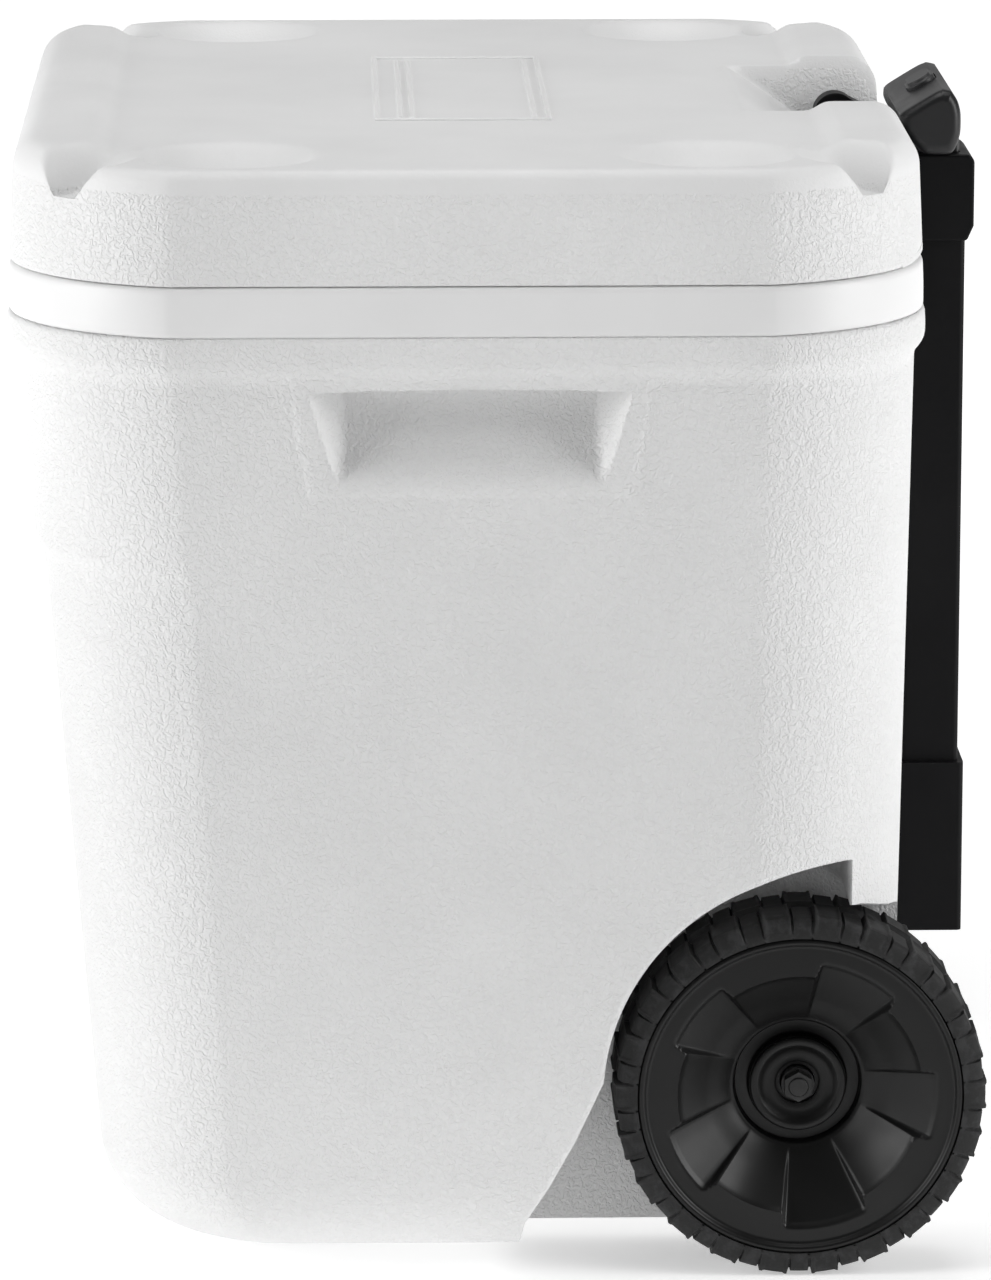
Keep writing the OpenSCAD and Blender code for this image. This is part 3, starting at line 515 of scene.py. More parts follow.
def hold_move(rings):
    """Sinks the end faces by the hand-holds' depth."""
    x, y, z = rings[..., 0], rings[..., 1], rings[..., 2]
    near = (np.abs(y) < CREASE - 4) & (z > HOLD_Z0 - 16) & (z < BAND_Z) & (np.abs(x) > HX - 30)
    d = hold_shape(y, z)
    rings[..., 0] = np.where(near, x - np.sign(x) * d, x)
    return rings


def body_rows(inset):
    """Rows of the body's outside, or of the space inside it that stands an inset behind."""
    rows = []
    bottom = GROUND + BOTTOM_R
    for a in np.radians(np.linspace(8, 90, 13)):
        k = BOTTOM_R * (1 - math.sin(a)) + inset
        z = GROUND + BOTTOM_R * (1 - math.cos(a)) + inset
        rows.append((min(z, bottom), side_x(bottom) - k, side_f(bottom) - k, side_b(bottom) - k))
    dense = [(STEP_Z, 12, 1.5), (HOLD_Z0 + 2, 14, 2.0), (HOLD_Z1 - 14, 16, 3.0), (HOLD_Z1 - 0.2, 2.2, 0.4),
             (HOLD_Z1 + 5, 8, 1.2)]
    levels = list(lines(bottom + 12, BAND_Z - 8, 14, dense))
    if inset:
        levels.append(COLLAR_Z + 2)
    rows += [(z, side_x(z) - inset, side_f(z) - inset, side_b(z) - inset) for z in levels]
    if inset:
        return rows
    bulge = ((-6.5, 0.03), (-4.5, 0.14), (-2.8, 0.34), (-1.2, 0.58), (0.4, 0.76), (2.2, 0.90), (4.5, 0.98))
    for dz, share in bulge:
        z = BAND_Z + dz
        pairs = ((side_x(z), HX), (side_f(z), HY), (side_b(z), HY))
        rows.append((z, *[face + share * (rim - face) for face, rim in pairs]))
    for z, d in ((BAND_Z + 8, 0), (COLLAR_Z - 2.5, 0.3), (COLLAR_Z - 0.9, 0.8), (COLLAR_Z, 2.0)):
        rows.append((z, HX - d, HY - d, HY - d))
    return rows


def surface_x(y, z):
    """Where the body's end surface stands, for a place on its elevation."""
    out = np.empty(len(y))
    for i, (yy, zz) in enumerate(zip(y, z)):
        zc = min(max(zz, GROUND + 1), BAND_Z)
        k = 0.0
        if zc < GROUND + BOTTOM_R:
            a = math.acos(1 - (zc - GROUND) / BOTTOM_R)
            k = BOTTOM_R * (1 - math.sin(a))
            zc = GROUND + BOTTOM_R
        hx, yb, yf = side_x(zc) - k, side_b(zc) - k, side_f(zc) - k
        t = np.linspace(0, 1, 60)
        cx, cy = corner(hx, yb if yy > 0 else yf, t)
        out[i] = hx if abs(yy) <= cy[0] else np.interp(abs(yy), cy, cx)
    return out


ARCH_R = WHEEL_R + 23
BEYOND = 340.0          # a place on X past the body's end


def well_outline(grow):
    """Wheel well in elevation, about the axle, grown outward by grow."""
    pts = [(-152, -135), (-146, -100), (-140, -65), (-128, -43), (-115, -19)]
    start = math.radians(176)
    end = math.acos(7.5 / ARCH_R)
    pts += [(17 + ARCH_R * math.cos(a), 4 + ARCH_R * math.sin(a)) for a in np.linspace(start, end, 44)]
    round_r = WHEEL_R + 6
    a1 = math.acos(24.5 / round_r)
    pts += [(24.5, 4 + ARCH_R * math.sin(end) * 0.5 + round_r * math.sin(a1) * 0.5)]
    pts += [(round_r * math.cos(a), round_r * math.sin(a)) for a in np.linspace(a1, 0, 24)]
    pts += [(round_r, -60), (round_r, -135)]
    p = np.array(pts)
    along = np.roll(p, -1, 0) - np.roll(p, 1, 0)
    along /= np.linalg.norm(along, axis=1)[:, None]
    return p + np.stack([-along[:, 1], along[:, 0]], -1) * grow


def well_tool(side, grow, lip=True):
    """Cutting solid for one wheel well, with a rounded lip where it leaves the end face."""
    base = well_outline(grow)
    surf = surface_x(base[:, 0] + AXLE_Y, base[:, 1] + AXLE_Z)
    inner = WELL_X - grow
    rings = [(np.full(len(base), BEYOND), 3.0 if lip else 0.0)]
    if lip:
        rings += [(np.maximum(surf + 0.02, inner + 9), 3.0), (np.maximum(surf - 0.5, inner + 8), 1.5),
                  (np.maximum(surf - 1.4, inner + 7), 0.55), (np.maximum(surf - 3.0, inner + 6), 0.0)]
    rings += [(np.full(len(base), inner + 3), 0.0), (np.full(len(base), inner + 0.9), -0.9),
              (np.full(len(base), inner), -3.0)]
    pts = []
    for x, g in rings:
        o = well_outline(grow + g)
        pts.append(np.stack([x * side, o[:, 0] + AXLE_Y, o[:, 1] + AXLE_Z], -1))
    n = len(base)
    faces = quads(len(rings), n) + end_caps(len(rings), n)
    return outward(raw_mesh("well_tool", np.array(pts), faces))


def build_body():
    panel = end_lines([(70, 20, 1.6), (120, 30, 6)])
    outer = outward(loft("body_moulding", body_rows(0), panel, hold_move))
    inner = outward(loft("body_space", body_rows(SKIN), panel, hold_move))
    for side in (-1, 1):
        cut(inner, well_tool(side, SKIN, False))
    cut(outer, inner)
    for side in (-1, 1):
        cut(outer, well_tool(side, 0))
    drain_low, drain_high = mm_box("drain_spout")
    dy, dz = (drain_low[1] + drain_high[1]) / 2, (drain_low[2] + drain_high[2]) / 2
    cut(outer, ring_profile("drain_tool", [(-HX - 5, 10), (-HX + 60, 10)], (dy, dz), 48, False))
    return finish_piece(outer, "body", [MATS["shell_white"]], ["body_shell"])


build_body()


# ---------- collar frame and tub ----------
def ring_loft(name, rows, panel):
    """Frame through rows of (z, half length, half depth), the last row joined to the first."""
    rings = [level(z, hx, hy, hy, panel) for z, hx, hy in rows]
    m, n = len(rings), len(rings[0])
    return outward(raw_mesh(name, np.array(rings), quads(m, n) + closing(m, n)))


TUB_WALL = 34           # from the body's outside to the inside of its walls


def build_collar():
    panel = end_lines([])
    tub_x, tub_y = HX - TUB_WALL, HY - TUB_WALL
    rows = [(COLLAR_Z + 0.02, tub_x, tub_y), (COLLAR_Z + 0.02, HX - 2.2, HY - 2.2)]
    tall = SEAM_Z - COLLAR_Z
    for dz, d in ((0.6, 1.5), (1.6, 1.15), (3, 1.05), (12, 1.15), (tall - 4, 1.5), (tall - 2.2, 1.7),
                  (tall - 1.0, 2.2), (tall - 0.3, 3.0)):
        rows.append((COLLAR_Z + dz, HX - d, HY - d))
    rows.append((SEAM_Z, HX - 4.4, HY - 4.4))
    for dz, d in ((0, 2), (0.5, 0.6), (1.6, 0.05)):
        rows.append((SEAM_Z - dz, tub_x + d, tub_y + d))
    obj = ring_loft("collar_band", rows, panel)
    return finish_piece(obj, "body", [MATS["smooth_white"]], ["collar_frame"])


build_collar()


# ---------- lid ----------
SCOOP_Y = HY - 86
HINGE_Y = HY - 15.5
HINGE_Z = SEAM_Z + 28
CUP_X, CUP_Y, CUP_DEEP = HX - 62, HY - 112, 12
CUP_FLAT, CUP_WALL = 24, 34         # radius of a cup holder's floor, and width of the slope round it
GROOVE_X, GROOVE_Y = HX - 50, HY - 44
GROOVE_TURN = 40                    # degrees between a corner groove and the lid's length
PANEL_Y = HY - 46
LID_X, LID_Y = HX - 5, HY - 3.5
LID_Z_EDGE = SEAM_Z + 46            # about where the rounding of the lid's top edge begins
EDGE_ROUND = 19                     # how far that rounding reaches inward
BACK_R, BACK_R_IN = 27.4, 24.6      # the curved back skin's radii about the hinge line
STRAIGHT_X = 168                    # up to here the lid's grid lines run straight across
FAR_UP = 1e3                        # a height that never limits the surface


def lid_edge_x(y):
    """Half length of the lid's top outline at a depth y."""
    t = np.linspace(0, 1, 80)
    cx, cy = corner(LID_X, LID_Y, t)
    return np.where(np.abs(y) <= cy[0], LID_X, np.interp(np.abs(y), cy, cx))


def edge_distance(x, y):
    t = np.linspace(0, 1, 40)
    cx, cy = corner(LID_X, LID_Y, t)
    px = np.concatenate([[LID_X], cx, [0]])
    py = np.concatenate([[0], cy, [LID_Y]])
    best = np.full(x.shape, 1e9)
    ax, ay = np.abs(x), np.abs(y)
    for i in range(len(px) - 1):
        dx, dy = px[i + 1] - px[i], py[i + 1] - py[i]
        s = np.clip(((ax - px[i]) * dx + (ay - py[i]) * dy) / (dx * dx + dy * dy), 0, 1)
        best = np.minimum(best, np.hypot(ax - px[i] - s * dx, ay - py[i] - s * dy))
    return best


def lid_height(x, y):
    """Height of the lid's top surface."""
    d = edge_distance(x, y)
    curve = np.sqrt(np.clip(1 - (1 - np.clip(d / EDGE_ROUND, 0, 1)) ** 2, 0, 1))
    edge = LID_Z_EDGE - 0.5 + 17.5 * curve
    raised = smooth((np.abs(y) - PANEL_Y + 8) / 14)
    top = soft_min(edge, PANEL_Z + 6 * raised, 3.5)
    for sx in (-1, 1):
        for sy in (-1, 1):
            r = np.hypot(x - sx * CUP_X, y - sy * CUP_Y)
            bowl = PANEL_Z - CUP_DEEP + (CUP_DEEP + 8) * smooth((r - CUP_FLAT) / CUP_WALL)
            top = soft_min(top, bowl, 3.0)
            a = math.radians(sx * sy * GROOVE_TURN)
            dx, dy = x - sx * GROOVE_X, y - sy * GROOVE_Y
            u = (dx * math.cos(a) + dy * math.sin(a)) * sx
            v = dy * math.cos(a) - dx * math.sin(a)
            floor = TOP_Z - 23 + 17 * smooth((8 - u) / 44)
            groove = floor + np.clip(np.abs(v) - 8, 0, None) * 1.45
            top = soft_min(top, np.where(u > -44, groove, FAR_UP), 5.0)
    slope = np.interp(y, [SCOOP_Y - 40, SCOOP_Y, HINGE_Y - 11, HY + 1, HY + 20],
                      [PANEL_Z + 12, PANEL_Z + 0.5, HINGE_Z - 10, HINGE_Z - 19.5, HINGE_Z - 19.5])
    wall = HINGE_Z - 12 + (np.abs(x) - 73) * 3.45
    scoop = soft_max(slope, wall, 4.0)
    scoop = np.where(y > SCOOP_Y - 30, scoop, FAR_UP)
    return soft_min(top, scoop, 2.5)


def grid_rim(rows, cols):
    """Indices of the points round the edge of a grid, in order."""
    index = np.arange(rows * cols).reshape(rows, cols)
    return np.concatenate([index[0, :-1], index[:-1, -1], index[-1, :0:-1], index[:0:-1, 0]])


def back_floor(first):
    """The curved skin that closes the lid's underside behind the hinge line, as points and faces."""
    rows, cols = 12, 60
    ys = np.linspace(HINGE_Y, LID_Y + 1.0, rows)
    half = lid_edge_x(ys * LID_Y / (LID_Y + 2)) + 2.0
    gx = np.linspace(-1, 1, cols)[None, :] * half[:, None]
    gy = np.repeat(ys[:, None], cols, 1)
    layers = [np.stack([gx, gy, HINGE_Z - np.sqrt(r * r - (gy - HINGE_Y) ** 2)], -1).reshape(-1, 3)
              for r in (BACK_R, BACK_R_IN)]
    n = rows * cols
    rim = grid_rim(rows, cols)
    faces = quads(rows, cols, False, False, first) + quads(rows, cols, False, True, first + n)
    faces += [[first + a, first + n + a, first + n + b, first + b] for a, b in zip(rim, np.roll(rim, -1))]
    return np.concatenate(layers), faces


def build_lid():
    half_x = np.concatenate([lines(0, STRAIGHT_X, 3.2, [(81, 13, 1.5)]), lines(STRAIGHT_X + 3, LID_X, 2.4)])
    xs = np.concatenate([-half_x[:0:-1], half_x])
    flat = lines(0, CREASE * LID_Y / HY - 1.2, 3.4)
    round_y = corner(LID_X, LID_Y, np.concatenate([[0.01], np.linspace(0.035, 1, 44)]))[1]
    half_y = np.concatenate([flat, round_y])
    ys = np.concatenate([-half_y[:0:-1], half_y])
    gx, gy = np.meshgrid(xs, ys)
    reach = lid_edge_x(gy)
    beyond = np.abs(gx) - STRAIGHT_X
    squeezed = STRAIGHT_X + beyond * (reach - STRAIGHT_X) / (LID_X - STRAIGHT_X)
    gx = np.where(beyond > 0, np.sign(gx) * squeezed, gx)
    gz = lid_height(gx, gy)
    rows, cols = gx.shape
    top = np.stack([gx, gy, gz], -1).reshape(-1, 3)
    rim = grid_rim(rows, cols)
    n = len(rim)

    def skirt(points):
        """Rings below the rim, from the top edge down to the seam and its rounded lip."""
        edge = points[rim]
        shares = [0.12, 0.3, 0.5, 0.7, 0.86, 0.94, 0.975, 0.99, 1.0]
        tuck = [0, 0, 0, 0, 0, 0, 0.15, 0.6, 1.5]
        out = []
        behind = np.clip(edge[:, 1] * (HY - 1.5) / LID_Y - HINGE_Y, 0, 26)
        curved = HINGE_Z - np.sqrt(np.clip(BACK_R ** 2 - behind ** 2, 0, None))
        low = np.maximum(np.where(behind > 0, curved, SEAM_Z + 0.35), SEAM_Z + 0.35)
        for s, t in zip(shares, tuck):
            z = edge[:, 2] + (low - edge[:, 2]) * s
            grow = np.clip((LID_Z_EDGE - z) / (LID_Z_EDGE - SEAM_Z), 0, 1)
            fx = 1 + (3.0 * grow - t) / LID_X
            fy = 1 + (2.0 * grow - t) / LID_Y
            out.append(np.stack([edge[:, 0] * fx, edge[:, 1] * fy, z], -1))
        return np.array(out)

    outer = skirt(top)
    inner_rows = []
    for inset, up in ((3.0, 0.0), (3.2, 8.0)):
        row = outer[-1].copy()
        row[:, 0] *= 1 - inset / LID_X
        row[:, 1] *= 1 - inset / LID_Y
        row[:, 2] += up
        inner_rows.append(row)
    ring_count = len(outer) + len(inner_rows)
    rings = np.concatenate([outer, np.array(inner_rows)])
    base = rows * cols
    faces = quads(rows, cols, False)
    faces += [[rim[j], base + j, base + (j + 1) % n, rim[(j + 1) % n]] for j in range(n)]
    faces += quads(ring_count, n, True, True, base)
    under = top.copy()
    under[:, 0] *= 1 - 3.4 / LID_X
    under[:, 1] *= 1 - 3.4 / LID_Y
    under[:, 2] -= 3.2
    start = base + ring_count * n
    faces += quads(rows, cols, False, True, start)
    last = base + (ring_count - 1) * n
    faces += [[last + j, start + rim[j], start + rim[(j + 1) % n], last + (j + 1) % n] for j in range(n)]
    floor_points, floor_faces = back_floor(start + rows * cols)
    points = np.concatenate([top, rings.reshape(-1, 3), under, floor_points])
    obj = outward(raw_mesh("lid_moulding", points, faces + floor_faces))
    looks = [MATS["shell_white"], MATS["lid_top"]]
    piece = finish_piece(obj, "lid", looks, ["lid_shell"], 50)
    top_faces = (rows - 1) * (cols - 1)
    for p in piece.data.polygons:
        p.material_index = int(p.index < top_faces and p.center.z > (PANEL_Z - 14) * MM)
    return piece


build_lid()


# ---------- wheels ----------
LUGS = 22
LUG_H = 3.5
LUG_SHARE = 0.27        # half a lug's length, as a share of the pitch


def side_name(side):
    return "left" if side < 0 else "right"


def on_wheel(x, r, angle, side):
    """Points of a wheel from places along its axle, radii and angles."""
    return np.stack([(WHEEL_MID + x) * side, AXLE_Y + r * np.cos(angle), AXLE_Z + r * np.sin(angle)], -1)


def build_tyre(side):
    name = side_name(side)
    base = WHEEL_R - LUG_H
    half = (WHEEL_X1 - WHEEL_X0) / 2
    inner_r = WHEEL_R - 12
    section = []
    for x in lines(-half + 0.6, -half + 5, 1.5):
        section.append((x, base - 6 + 6 * math.sin(math.acos(np.clip((-half + 5 - x) / 5, 0, 1)))))
    across = np.concatenate([np.linspace(0.03, 0.42, 8), [0.455, 0.475, 0.49, 0.51, 0.525, 0.545],
                             np.linspace(0.58, 0.97, 8)])
    crown = [(-half + 5 + s * (2 * half - 10), base) for s in across]
    left_wall = [(-half + 0.2, inner_r + 0.3), (-half, inner_r + 1.2), (-half, base - 8.5),
                 (-half, base - 7.5), (-half + 0.05, base - 6.4)]
    shoulder = [(x, r) for x, r in section if x > -half + 0.6]
    profile = left_wall + shoulder + crown
    profile += [(-x, r) for x, r in (left_wall + shoulder)[::-1]]
    profile = np.array(profile)
    tangent = np.gradient(profile, axis=0)
    tangent /= np.linalg.norm(tangent, axis=1)[:, None]
    normal = np.stack([-tangent[:, 1], tangent[:, 0]], -1)
    pitch = 2 * math.pi / LUGS
    e = LUG_SHARE
    marks = []
    for edge, out in ((0.5 - e, -1), (0.5 + e, 1), (e, 1), (1 - e, -1)):
        marks += [edge - out * k for k in (0.07, 0.028, 0.010, -0.010, -0.04, -0.06)]
    marks += [0.0, 0.5, 0.12, 0.88, 0.38, 0.62]
    marks = np.unique(np.round(np.mod(marks, 1), 4))
    ang = (np.arange(LUGS)[:, None] + marks[None]).reshape(-1) * pitch
    x = profile[:, 0][:, None]
    r = profile[:, 1][:, None]
    phase = np.mod(ang / pitch, 1)[None]
    row_a = np.abs(phase - 0.5)
    row_b = np.minimum(phase, 1 - phase)
    along = np.where(x < 0, row_a, row_b)
    jitter = 0.012 * np.sin(ang * 7 + 1.3)[None]
    cross = np.abs(x) - 1.0
    wrap = (r - (base - 8.2)) / 1.2
    main = np.clip((e + jitter - along) / 0.02 + 0.5, 0, 1)
    second = 0.5 * np.clip((along - e - 0.05) / 0.02 + 0.5, 0, 1)
    rise = np.maximum(main, second) * np.clip(np.minimum(cross / 0.9, wrap), 0, 1)
    inside = np.minimum(np.minimum((e - along) * pitch * WHEEL_R, np.abs(x) - 1.4), half + 4 - np.abs(x))
    dish = 0.7 * smooth((inside - 1.4) / 1.2) * (rise > 0.99)
    full = LUG_H * np.where(np.abs(x) > half - 3.2, 0.62, 1.0)
    height = (full * rise - dish) * (r > base - 9)
    px = np.clip(x + normal[:, 0][:, None] * height, -half, half)
    pr = np.minimum(r + normal[:, 1][:, None] * height, WHEEL_R)
    bore = np.array([[half - 0.2], [-half + 0.2]]) * np.ones(len(ang))
    px = np.concatenate([px, bore])
    pr = np.concatenate([pr, np.full(bore.shape, inner_r)])
    m, n = px.shape
    obj = outward(raw_mesh("tread_" + name, on_wheel(px, pr, ang, side), quads(m, n) + closing(m, n)))
    looks = [MATS["tyre_black"]]
    return finish_piece(obj, "wheel_" + name, looks, ["tyre_" + name], 42, False)


# spans of the fan's long sectors, in degrees
LONG = [(8, 44), (80, 110), (150, 187), (224, 255), (292, 325)]


def fan_share(theta):
    """1 inside a long sector of the fan, 0 inside a short one, with steep walls between."""
    deg = np.mod(np.degrees(theta), 360)
    share = np.zeros_like(deg)
    for a, b in LONG:
        share = np.maximum(share, smooth((deg - a + 1.4) / 2.8) * smooth((b + 1.4 - deg) / 2.8))
    return share


def build_disc(side):
    name = side_name(side)
    half = (WHEEL_X1 - WHEEL_X0) / 2
    rim_r = WHEEL_R - 12.05
    hub_low = mm_box("hub_ring_right")[0][0] - 0.1 - WHEEL_MID
    hub_top = hub_low + 2.0
    groove = hub_low - 3.5
    annulus = half - 3.0
    marks = [edge + k for span in LONG for edge in span for k in (-1.6, -0.8, 0, 0.8, 1.6)]
    ang = np.radians(np.unique(np.concatenate([np.arange(0, 360, 3.0), np.mod(marks, 360)])))
    share = fan_share(ang)[None]
    whole = np.ones_like(share)
    # the rolled edge, from the tyre inward, as (step in from the rim, step down from the outside)
    face = [(0.3, 1.2), (0.9, 0.35), (1.8, 0), (2.8, 0.1), (3.6, 0.9), (4.2, 2.2), (4.9, 2.9)]
    cone_r = lines(33.8, rim_r - 6, 1.15)[::-1]
    c = cone_r[:, None]
    outer_r = 62.5 + 7.5 * share
    fall = (annulus - hub_top) * np.clip((outer_r - c) / (outer_r - 34), 0, 1)
    edge_step = 0.8 * smooth((outer_r - c) / 1.6) * smooth((c - 36) / 12)
    tail_r = [33.2, 32.6, 32.2, 32.0, 31.6, 26.2, 25.4, 25.0, 25.0, 24.8]
    tail_x = [hub_low + 1.8, hub_low + 1.2, hub_low, groove + 1, groove, groove, groove + 0.5, groove + 1.5,
              hub_low + 3.0, hub_low + 3.4]
    back_r = [21.9, 21.9, 9.0, 9.0, 14, 14, 31, rim_r - 4.5, rim_r - 4.5, rim_r - 4.0, rim_r - 0.5,
              rim_r, rim_r]
    back_x = [hub_low + 3.4, hub_low, hub_low, -half + 1, -half + 1, hub_low - 9, hub_low - 8, half - 9,
              -half + 0.5, -half, -half, -half + 0.5, half - 2]
    radii = np.concatenate([[rim_r - r for r, _ in face], cone_r, tail_r, back_r])
    rr = radii[:, None] * whole
    xx = np.concatenate([np.array([half - x for _, x in face])[:, None] * whole, annulus - fall - edge_step,
                         np.array(tail_x + back_x)[:, None] * whole])
    m, n = rr.shape
    faces = quads(m, n) + closing(m, n)
    obj = outward(raw_mesh("wheel_face_" + name, on_wheel(xx, rr, math.pi / 2 - ang, side), faces))
    looks = [MATS["wheel_black"]]
    return finish_piece(obj, "wheel_" + name, looks, ["wheel_disc_" + name], 50, False)


def build_hub_ring(side):
    name = side_name(side)
    x0 = mm_box("hub_ring_right")[0][0]
    section = [(0, 11), (0, 21.4), (3.5, 21.6), (3.5, 24.2), (3.9, 24.6), (5.2, 24.6), (5.9, 24.1),
               (6.3, 23.3), (6.3, 21.2), (5.8, 20.2), (4.2, 18.6), (3.2, 16.8),
               (2.8, 14.5), (2.8, 12.2), (2.2, 11)]
    profile = [((x0 + a) * side, r) for a, r in section]
    obj = ring_profile("hub_cap_" + name, profile, (AXLE_Y, AXLE_Z), 96)
    looks = [MATS["wheel_black"]]
    return finish_piece(obj, "wheel_" + name, looks, ["hub_ring_" + name], 60, False)


for side in (-1, 1):
    build_tyre(side)
    build_disc(side)
    build_hub_ring(side)


# ---------- handle ----------
def smooth_loop(points, per=6):
    """Closed Catmull-Rom curve through a few points."""
    p = np.array(points, float)
    out = []
    for i in range(len(p)):
        a, b, c, d = p[i - 1], p[i], p[(i + 1) % len(p)], p[(i + 2) % len(p)]
        for t in np.arange(per) / per:
            out.append(0.5 * (2 * b + (c - a) * t + (2 * a - 5 * b + 4 * c - d) * t * t
                              + (3 * b - a - 3 * c + d) * t ** 3))
    return np.array(out)


def chamfered(points, amount):
    """Replaces each corner of an outline by two points, so that a curve through them stays close to it."""
    p = np.array(points, float)
    out = []
    for i in range(len(p)):
        for q in (p[i - 1], p[(i + 1) % len(p)]):
            d = q - p[i]
            out.append(p[i] + d * min(amount / np.linalg.norm(d), 0.4))
    return out


def clear_box(obj, name, box, gap, z0, z1):
    """Clears a box, grown sideways by a gap, out of a piece between two heights."""
    (x0, y0, _), (x1, y1, _) = box
    return cut(obj, cuboid(name, x0 - gap, x1 + gap, y0 - gap, y1 + gap, z0, z1))


SCREW_X, SCREW_R = 40, 4        # the grip's screw bores


def build_grip():
    low, high = mm_box("grip_front")
    back = mm_box("grip_back")[1]
    gf, gb, half = low[1], back[1], high[0]
    gz = TOP_Z + 2
    shape = [(gf, gz - 17), (gf + 2, gz - 14), (gf + 20, gz - 3), (gb - 7, gz - 1.2), (gb - 3, gz - 5),
             (gb, gz - 13), (gb, gz - 26), (gb - 4, gz - 36), (gf + 14, gz - 36), (gf + 2, gz - 24)]
    loop = smooth_loop(chamfered(shape, 2.4), 4)
    centre = np.array([(gf + gb) / 2 + 3, gz - 19])
    sections = []
    end_r, half_thick = 6, 17
    for e in (0, 0.35, 1.1, 2.2, 3.8, end_r):
        s = 1 - end_r * (1 - math.sqrt(max(1 - (1 - e / end_r) ** 2, 0))) / half_thick
        sections.append((-half + e, s))
    sections += [(x, 1.0) for x in np.linspace(-half + 10, half - 10, 13)]
    sections += [(-x, s) for x, s in sections[:6][::-1]]
    pts = [[(x, centre[0] + (u - centre[0]) * s, centre[1] + (v - centre[1]) * s) for u, v in loop]
           for x, s in sections]
    n, m = len(loop), len(sections)
    obj = outward(raw_mesh("grip_shell", np.array(pts), quads(m, n) + end_caps(m, n)))
    inner = mm_box("inner_tube")
    clear_box(obj, "grip_tool", inner, 0.2, gz - 50, inner[1][2] + 0.2)
    rod_y, tube_top = (inner[0][1] + inner[1][1]) / 2, inner[1][2]
    cut(obj, cuboid("paddle_tool", -12, 12, rod_y - 7, rod_y + 7, tube_top - 1, tube_top + 9))
    cut(obj, cuboid("stem_tool", -6.5, 6.5, rod_y - 4, rod_y + 4, tube_top, gz - 5.5))
    b_low, b_high = mm_box("button")
    by, bz = (b_low[1] + b_high[1]) / 2, (b_low[2] + b_high[2]) / 2
    tool = prism("button_tool", oval(8.5, 6), -10, 30, "Z")
    place_tilted(tool, by, bz)
    cut(obj, tool)
    turns = np.arange(24) * math.pi / 12
    for x in (-SCREW_X, SCREW_X):
        bore = [(x + SCREW_R * math.cos(t), gz - 18 + SCREW_R * math.sin(t)) for t in turns]
        cut(obj, prism("bore_tool", bore, gb - 4, gb + 5, "Y"))
    return finish_piece(obj, "handle", [MATS["grip_black"]], ["grip_front", "grip_back"], 40)


def oval(radius, half_straight, steps=14):
    right = [(half_straight + radius * math.cos(a), radius * math.sin(a))
             for a in np.linspace(-math.pi / 2, math.pi / 2, steps)]
    left = [(-x, -y) for x, y in right]
    return right + left


def place_tilted(obj, y, z):
    """Turns a piece made about the world's origin by the grip's tilt and puts it at (0, y, z)."""
    a = math.radians(GRIP_TILT)
    for v in obj.data.vertices:
        ly, lz = v.co.y - Y_MID * MM, v.co.z
        v.co.y = (y + Y_MID) * MM + ly * math.cos(a) - lz * math.sin(a)
        v.co.z = z * MM + ly * math.sin(a) + lz * math.cos(a)


def build_collar_piece():
    post = mm_box("outer_tube")
    low, high = mm_box("tube_collar")
    y1 = post[1][1]
    profile = [(low[1], low[2]), (y1 + 0.5, low[2]), (high[1], low[2] + 8), (high[1], high[2] - 3),
               (y1 + 1, high[2]), (low[1], high[2])]
    obj = prism("collar_cover", profile, low[0], high[0], "X")
    bevel(obj, 1.4)
    below, above = 100, 700
    clear_box(obj, "collar_tool", post, 0.05, below, post[1][2] + 0.05)
    clear_box(obj, "mouth_tool", mm_box("inner_tube"), 0.5, below, above)
    return finish_piece(obj, "body", [MATS["handle_black"]], ["tube_collar"], 30)


build_grip()
build_collar_piece()


# ---------- softened edges on the plain CAD mouldings and fittings ----------
def soften(node, width):
    """A copy of a CAD node's mesh with its sharp edges rounded, standing in for that node."""
    source = frame["nodes"][node]
    bm = bmesh.new()
    bm.from_mesh(source.data)
    bmesh.ops.remove_doubles(bm, verts=bm.verts, dist=2e-6)
    bmesh.ops.dissolve_limit(bm, angle_limit=math.radians(0.5), verts=bm.verts, edges=bm.edges)
    round_edges(bm, width, 2)
    mesh = bpy.data.meshes.new("soft_" + node)
    bm.to_mesh(mesh)
    bm.free()
    obj = bpy.data.objects.new("soft_" + node, mesh)
    bpy.context.scene.collection.objects.link(obj)
    slot = SLOT_OF[node]
    return finish_piece(obj, source["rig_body"], [MATS[slot]], [node], 35)


EDGES = {
    "tube_shoe": 1.4, "button": 0.9, "hinge_bracket": 1.2, "hinge_ear_left": 0.9, "hinge_ear_right": 0.9,
    "front_foot_left": 1.6, "front_foot_right": 1.6, "drain_cap": 0.8, "drain_spout": 0.6, "drain_nut": 0.6,
    "axle_nut_left": 0.5, "axle_nut_right": 0.5, "axle": 0.8, "latch_block": 0.5, "slide_plug": 0.6,
    "axle_sleeve_left": 0.6, "axle_sleeve_right": 0.6, "outer_tube": 0.5, "inner_tube": 0.5, "liner": 1.2,
    "lid_liner": 1.2, "axle_washer_left": 0.3, "axle_washer_right": 0.3, "push_rod": 0.4,
}
for node, width in EDGES.items():
    soften(node, width)


# ---------- raised frame on the lid ----------
BAR = 3                 # width of the frame's bars


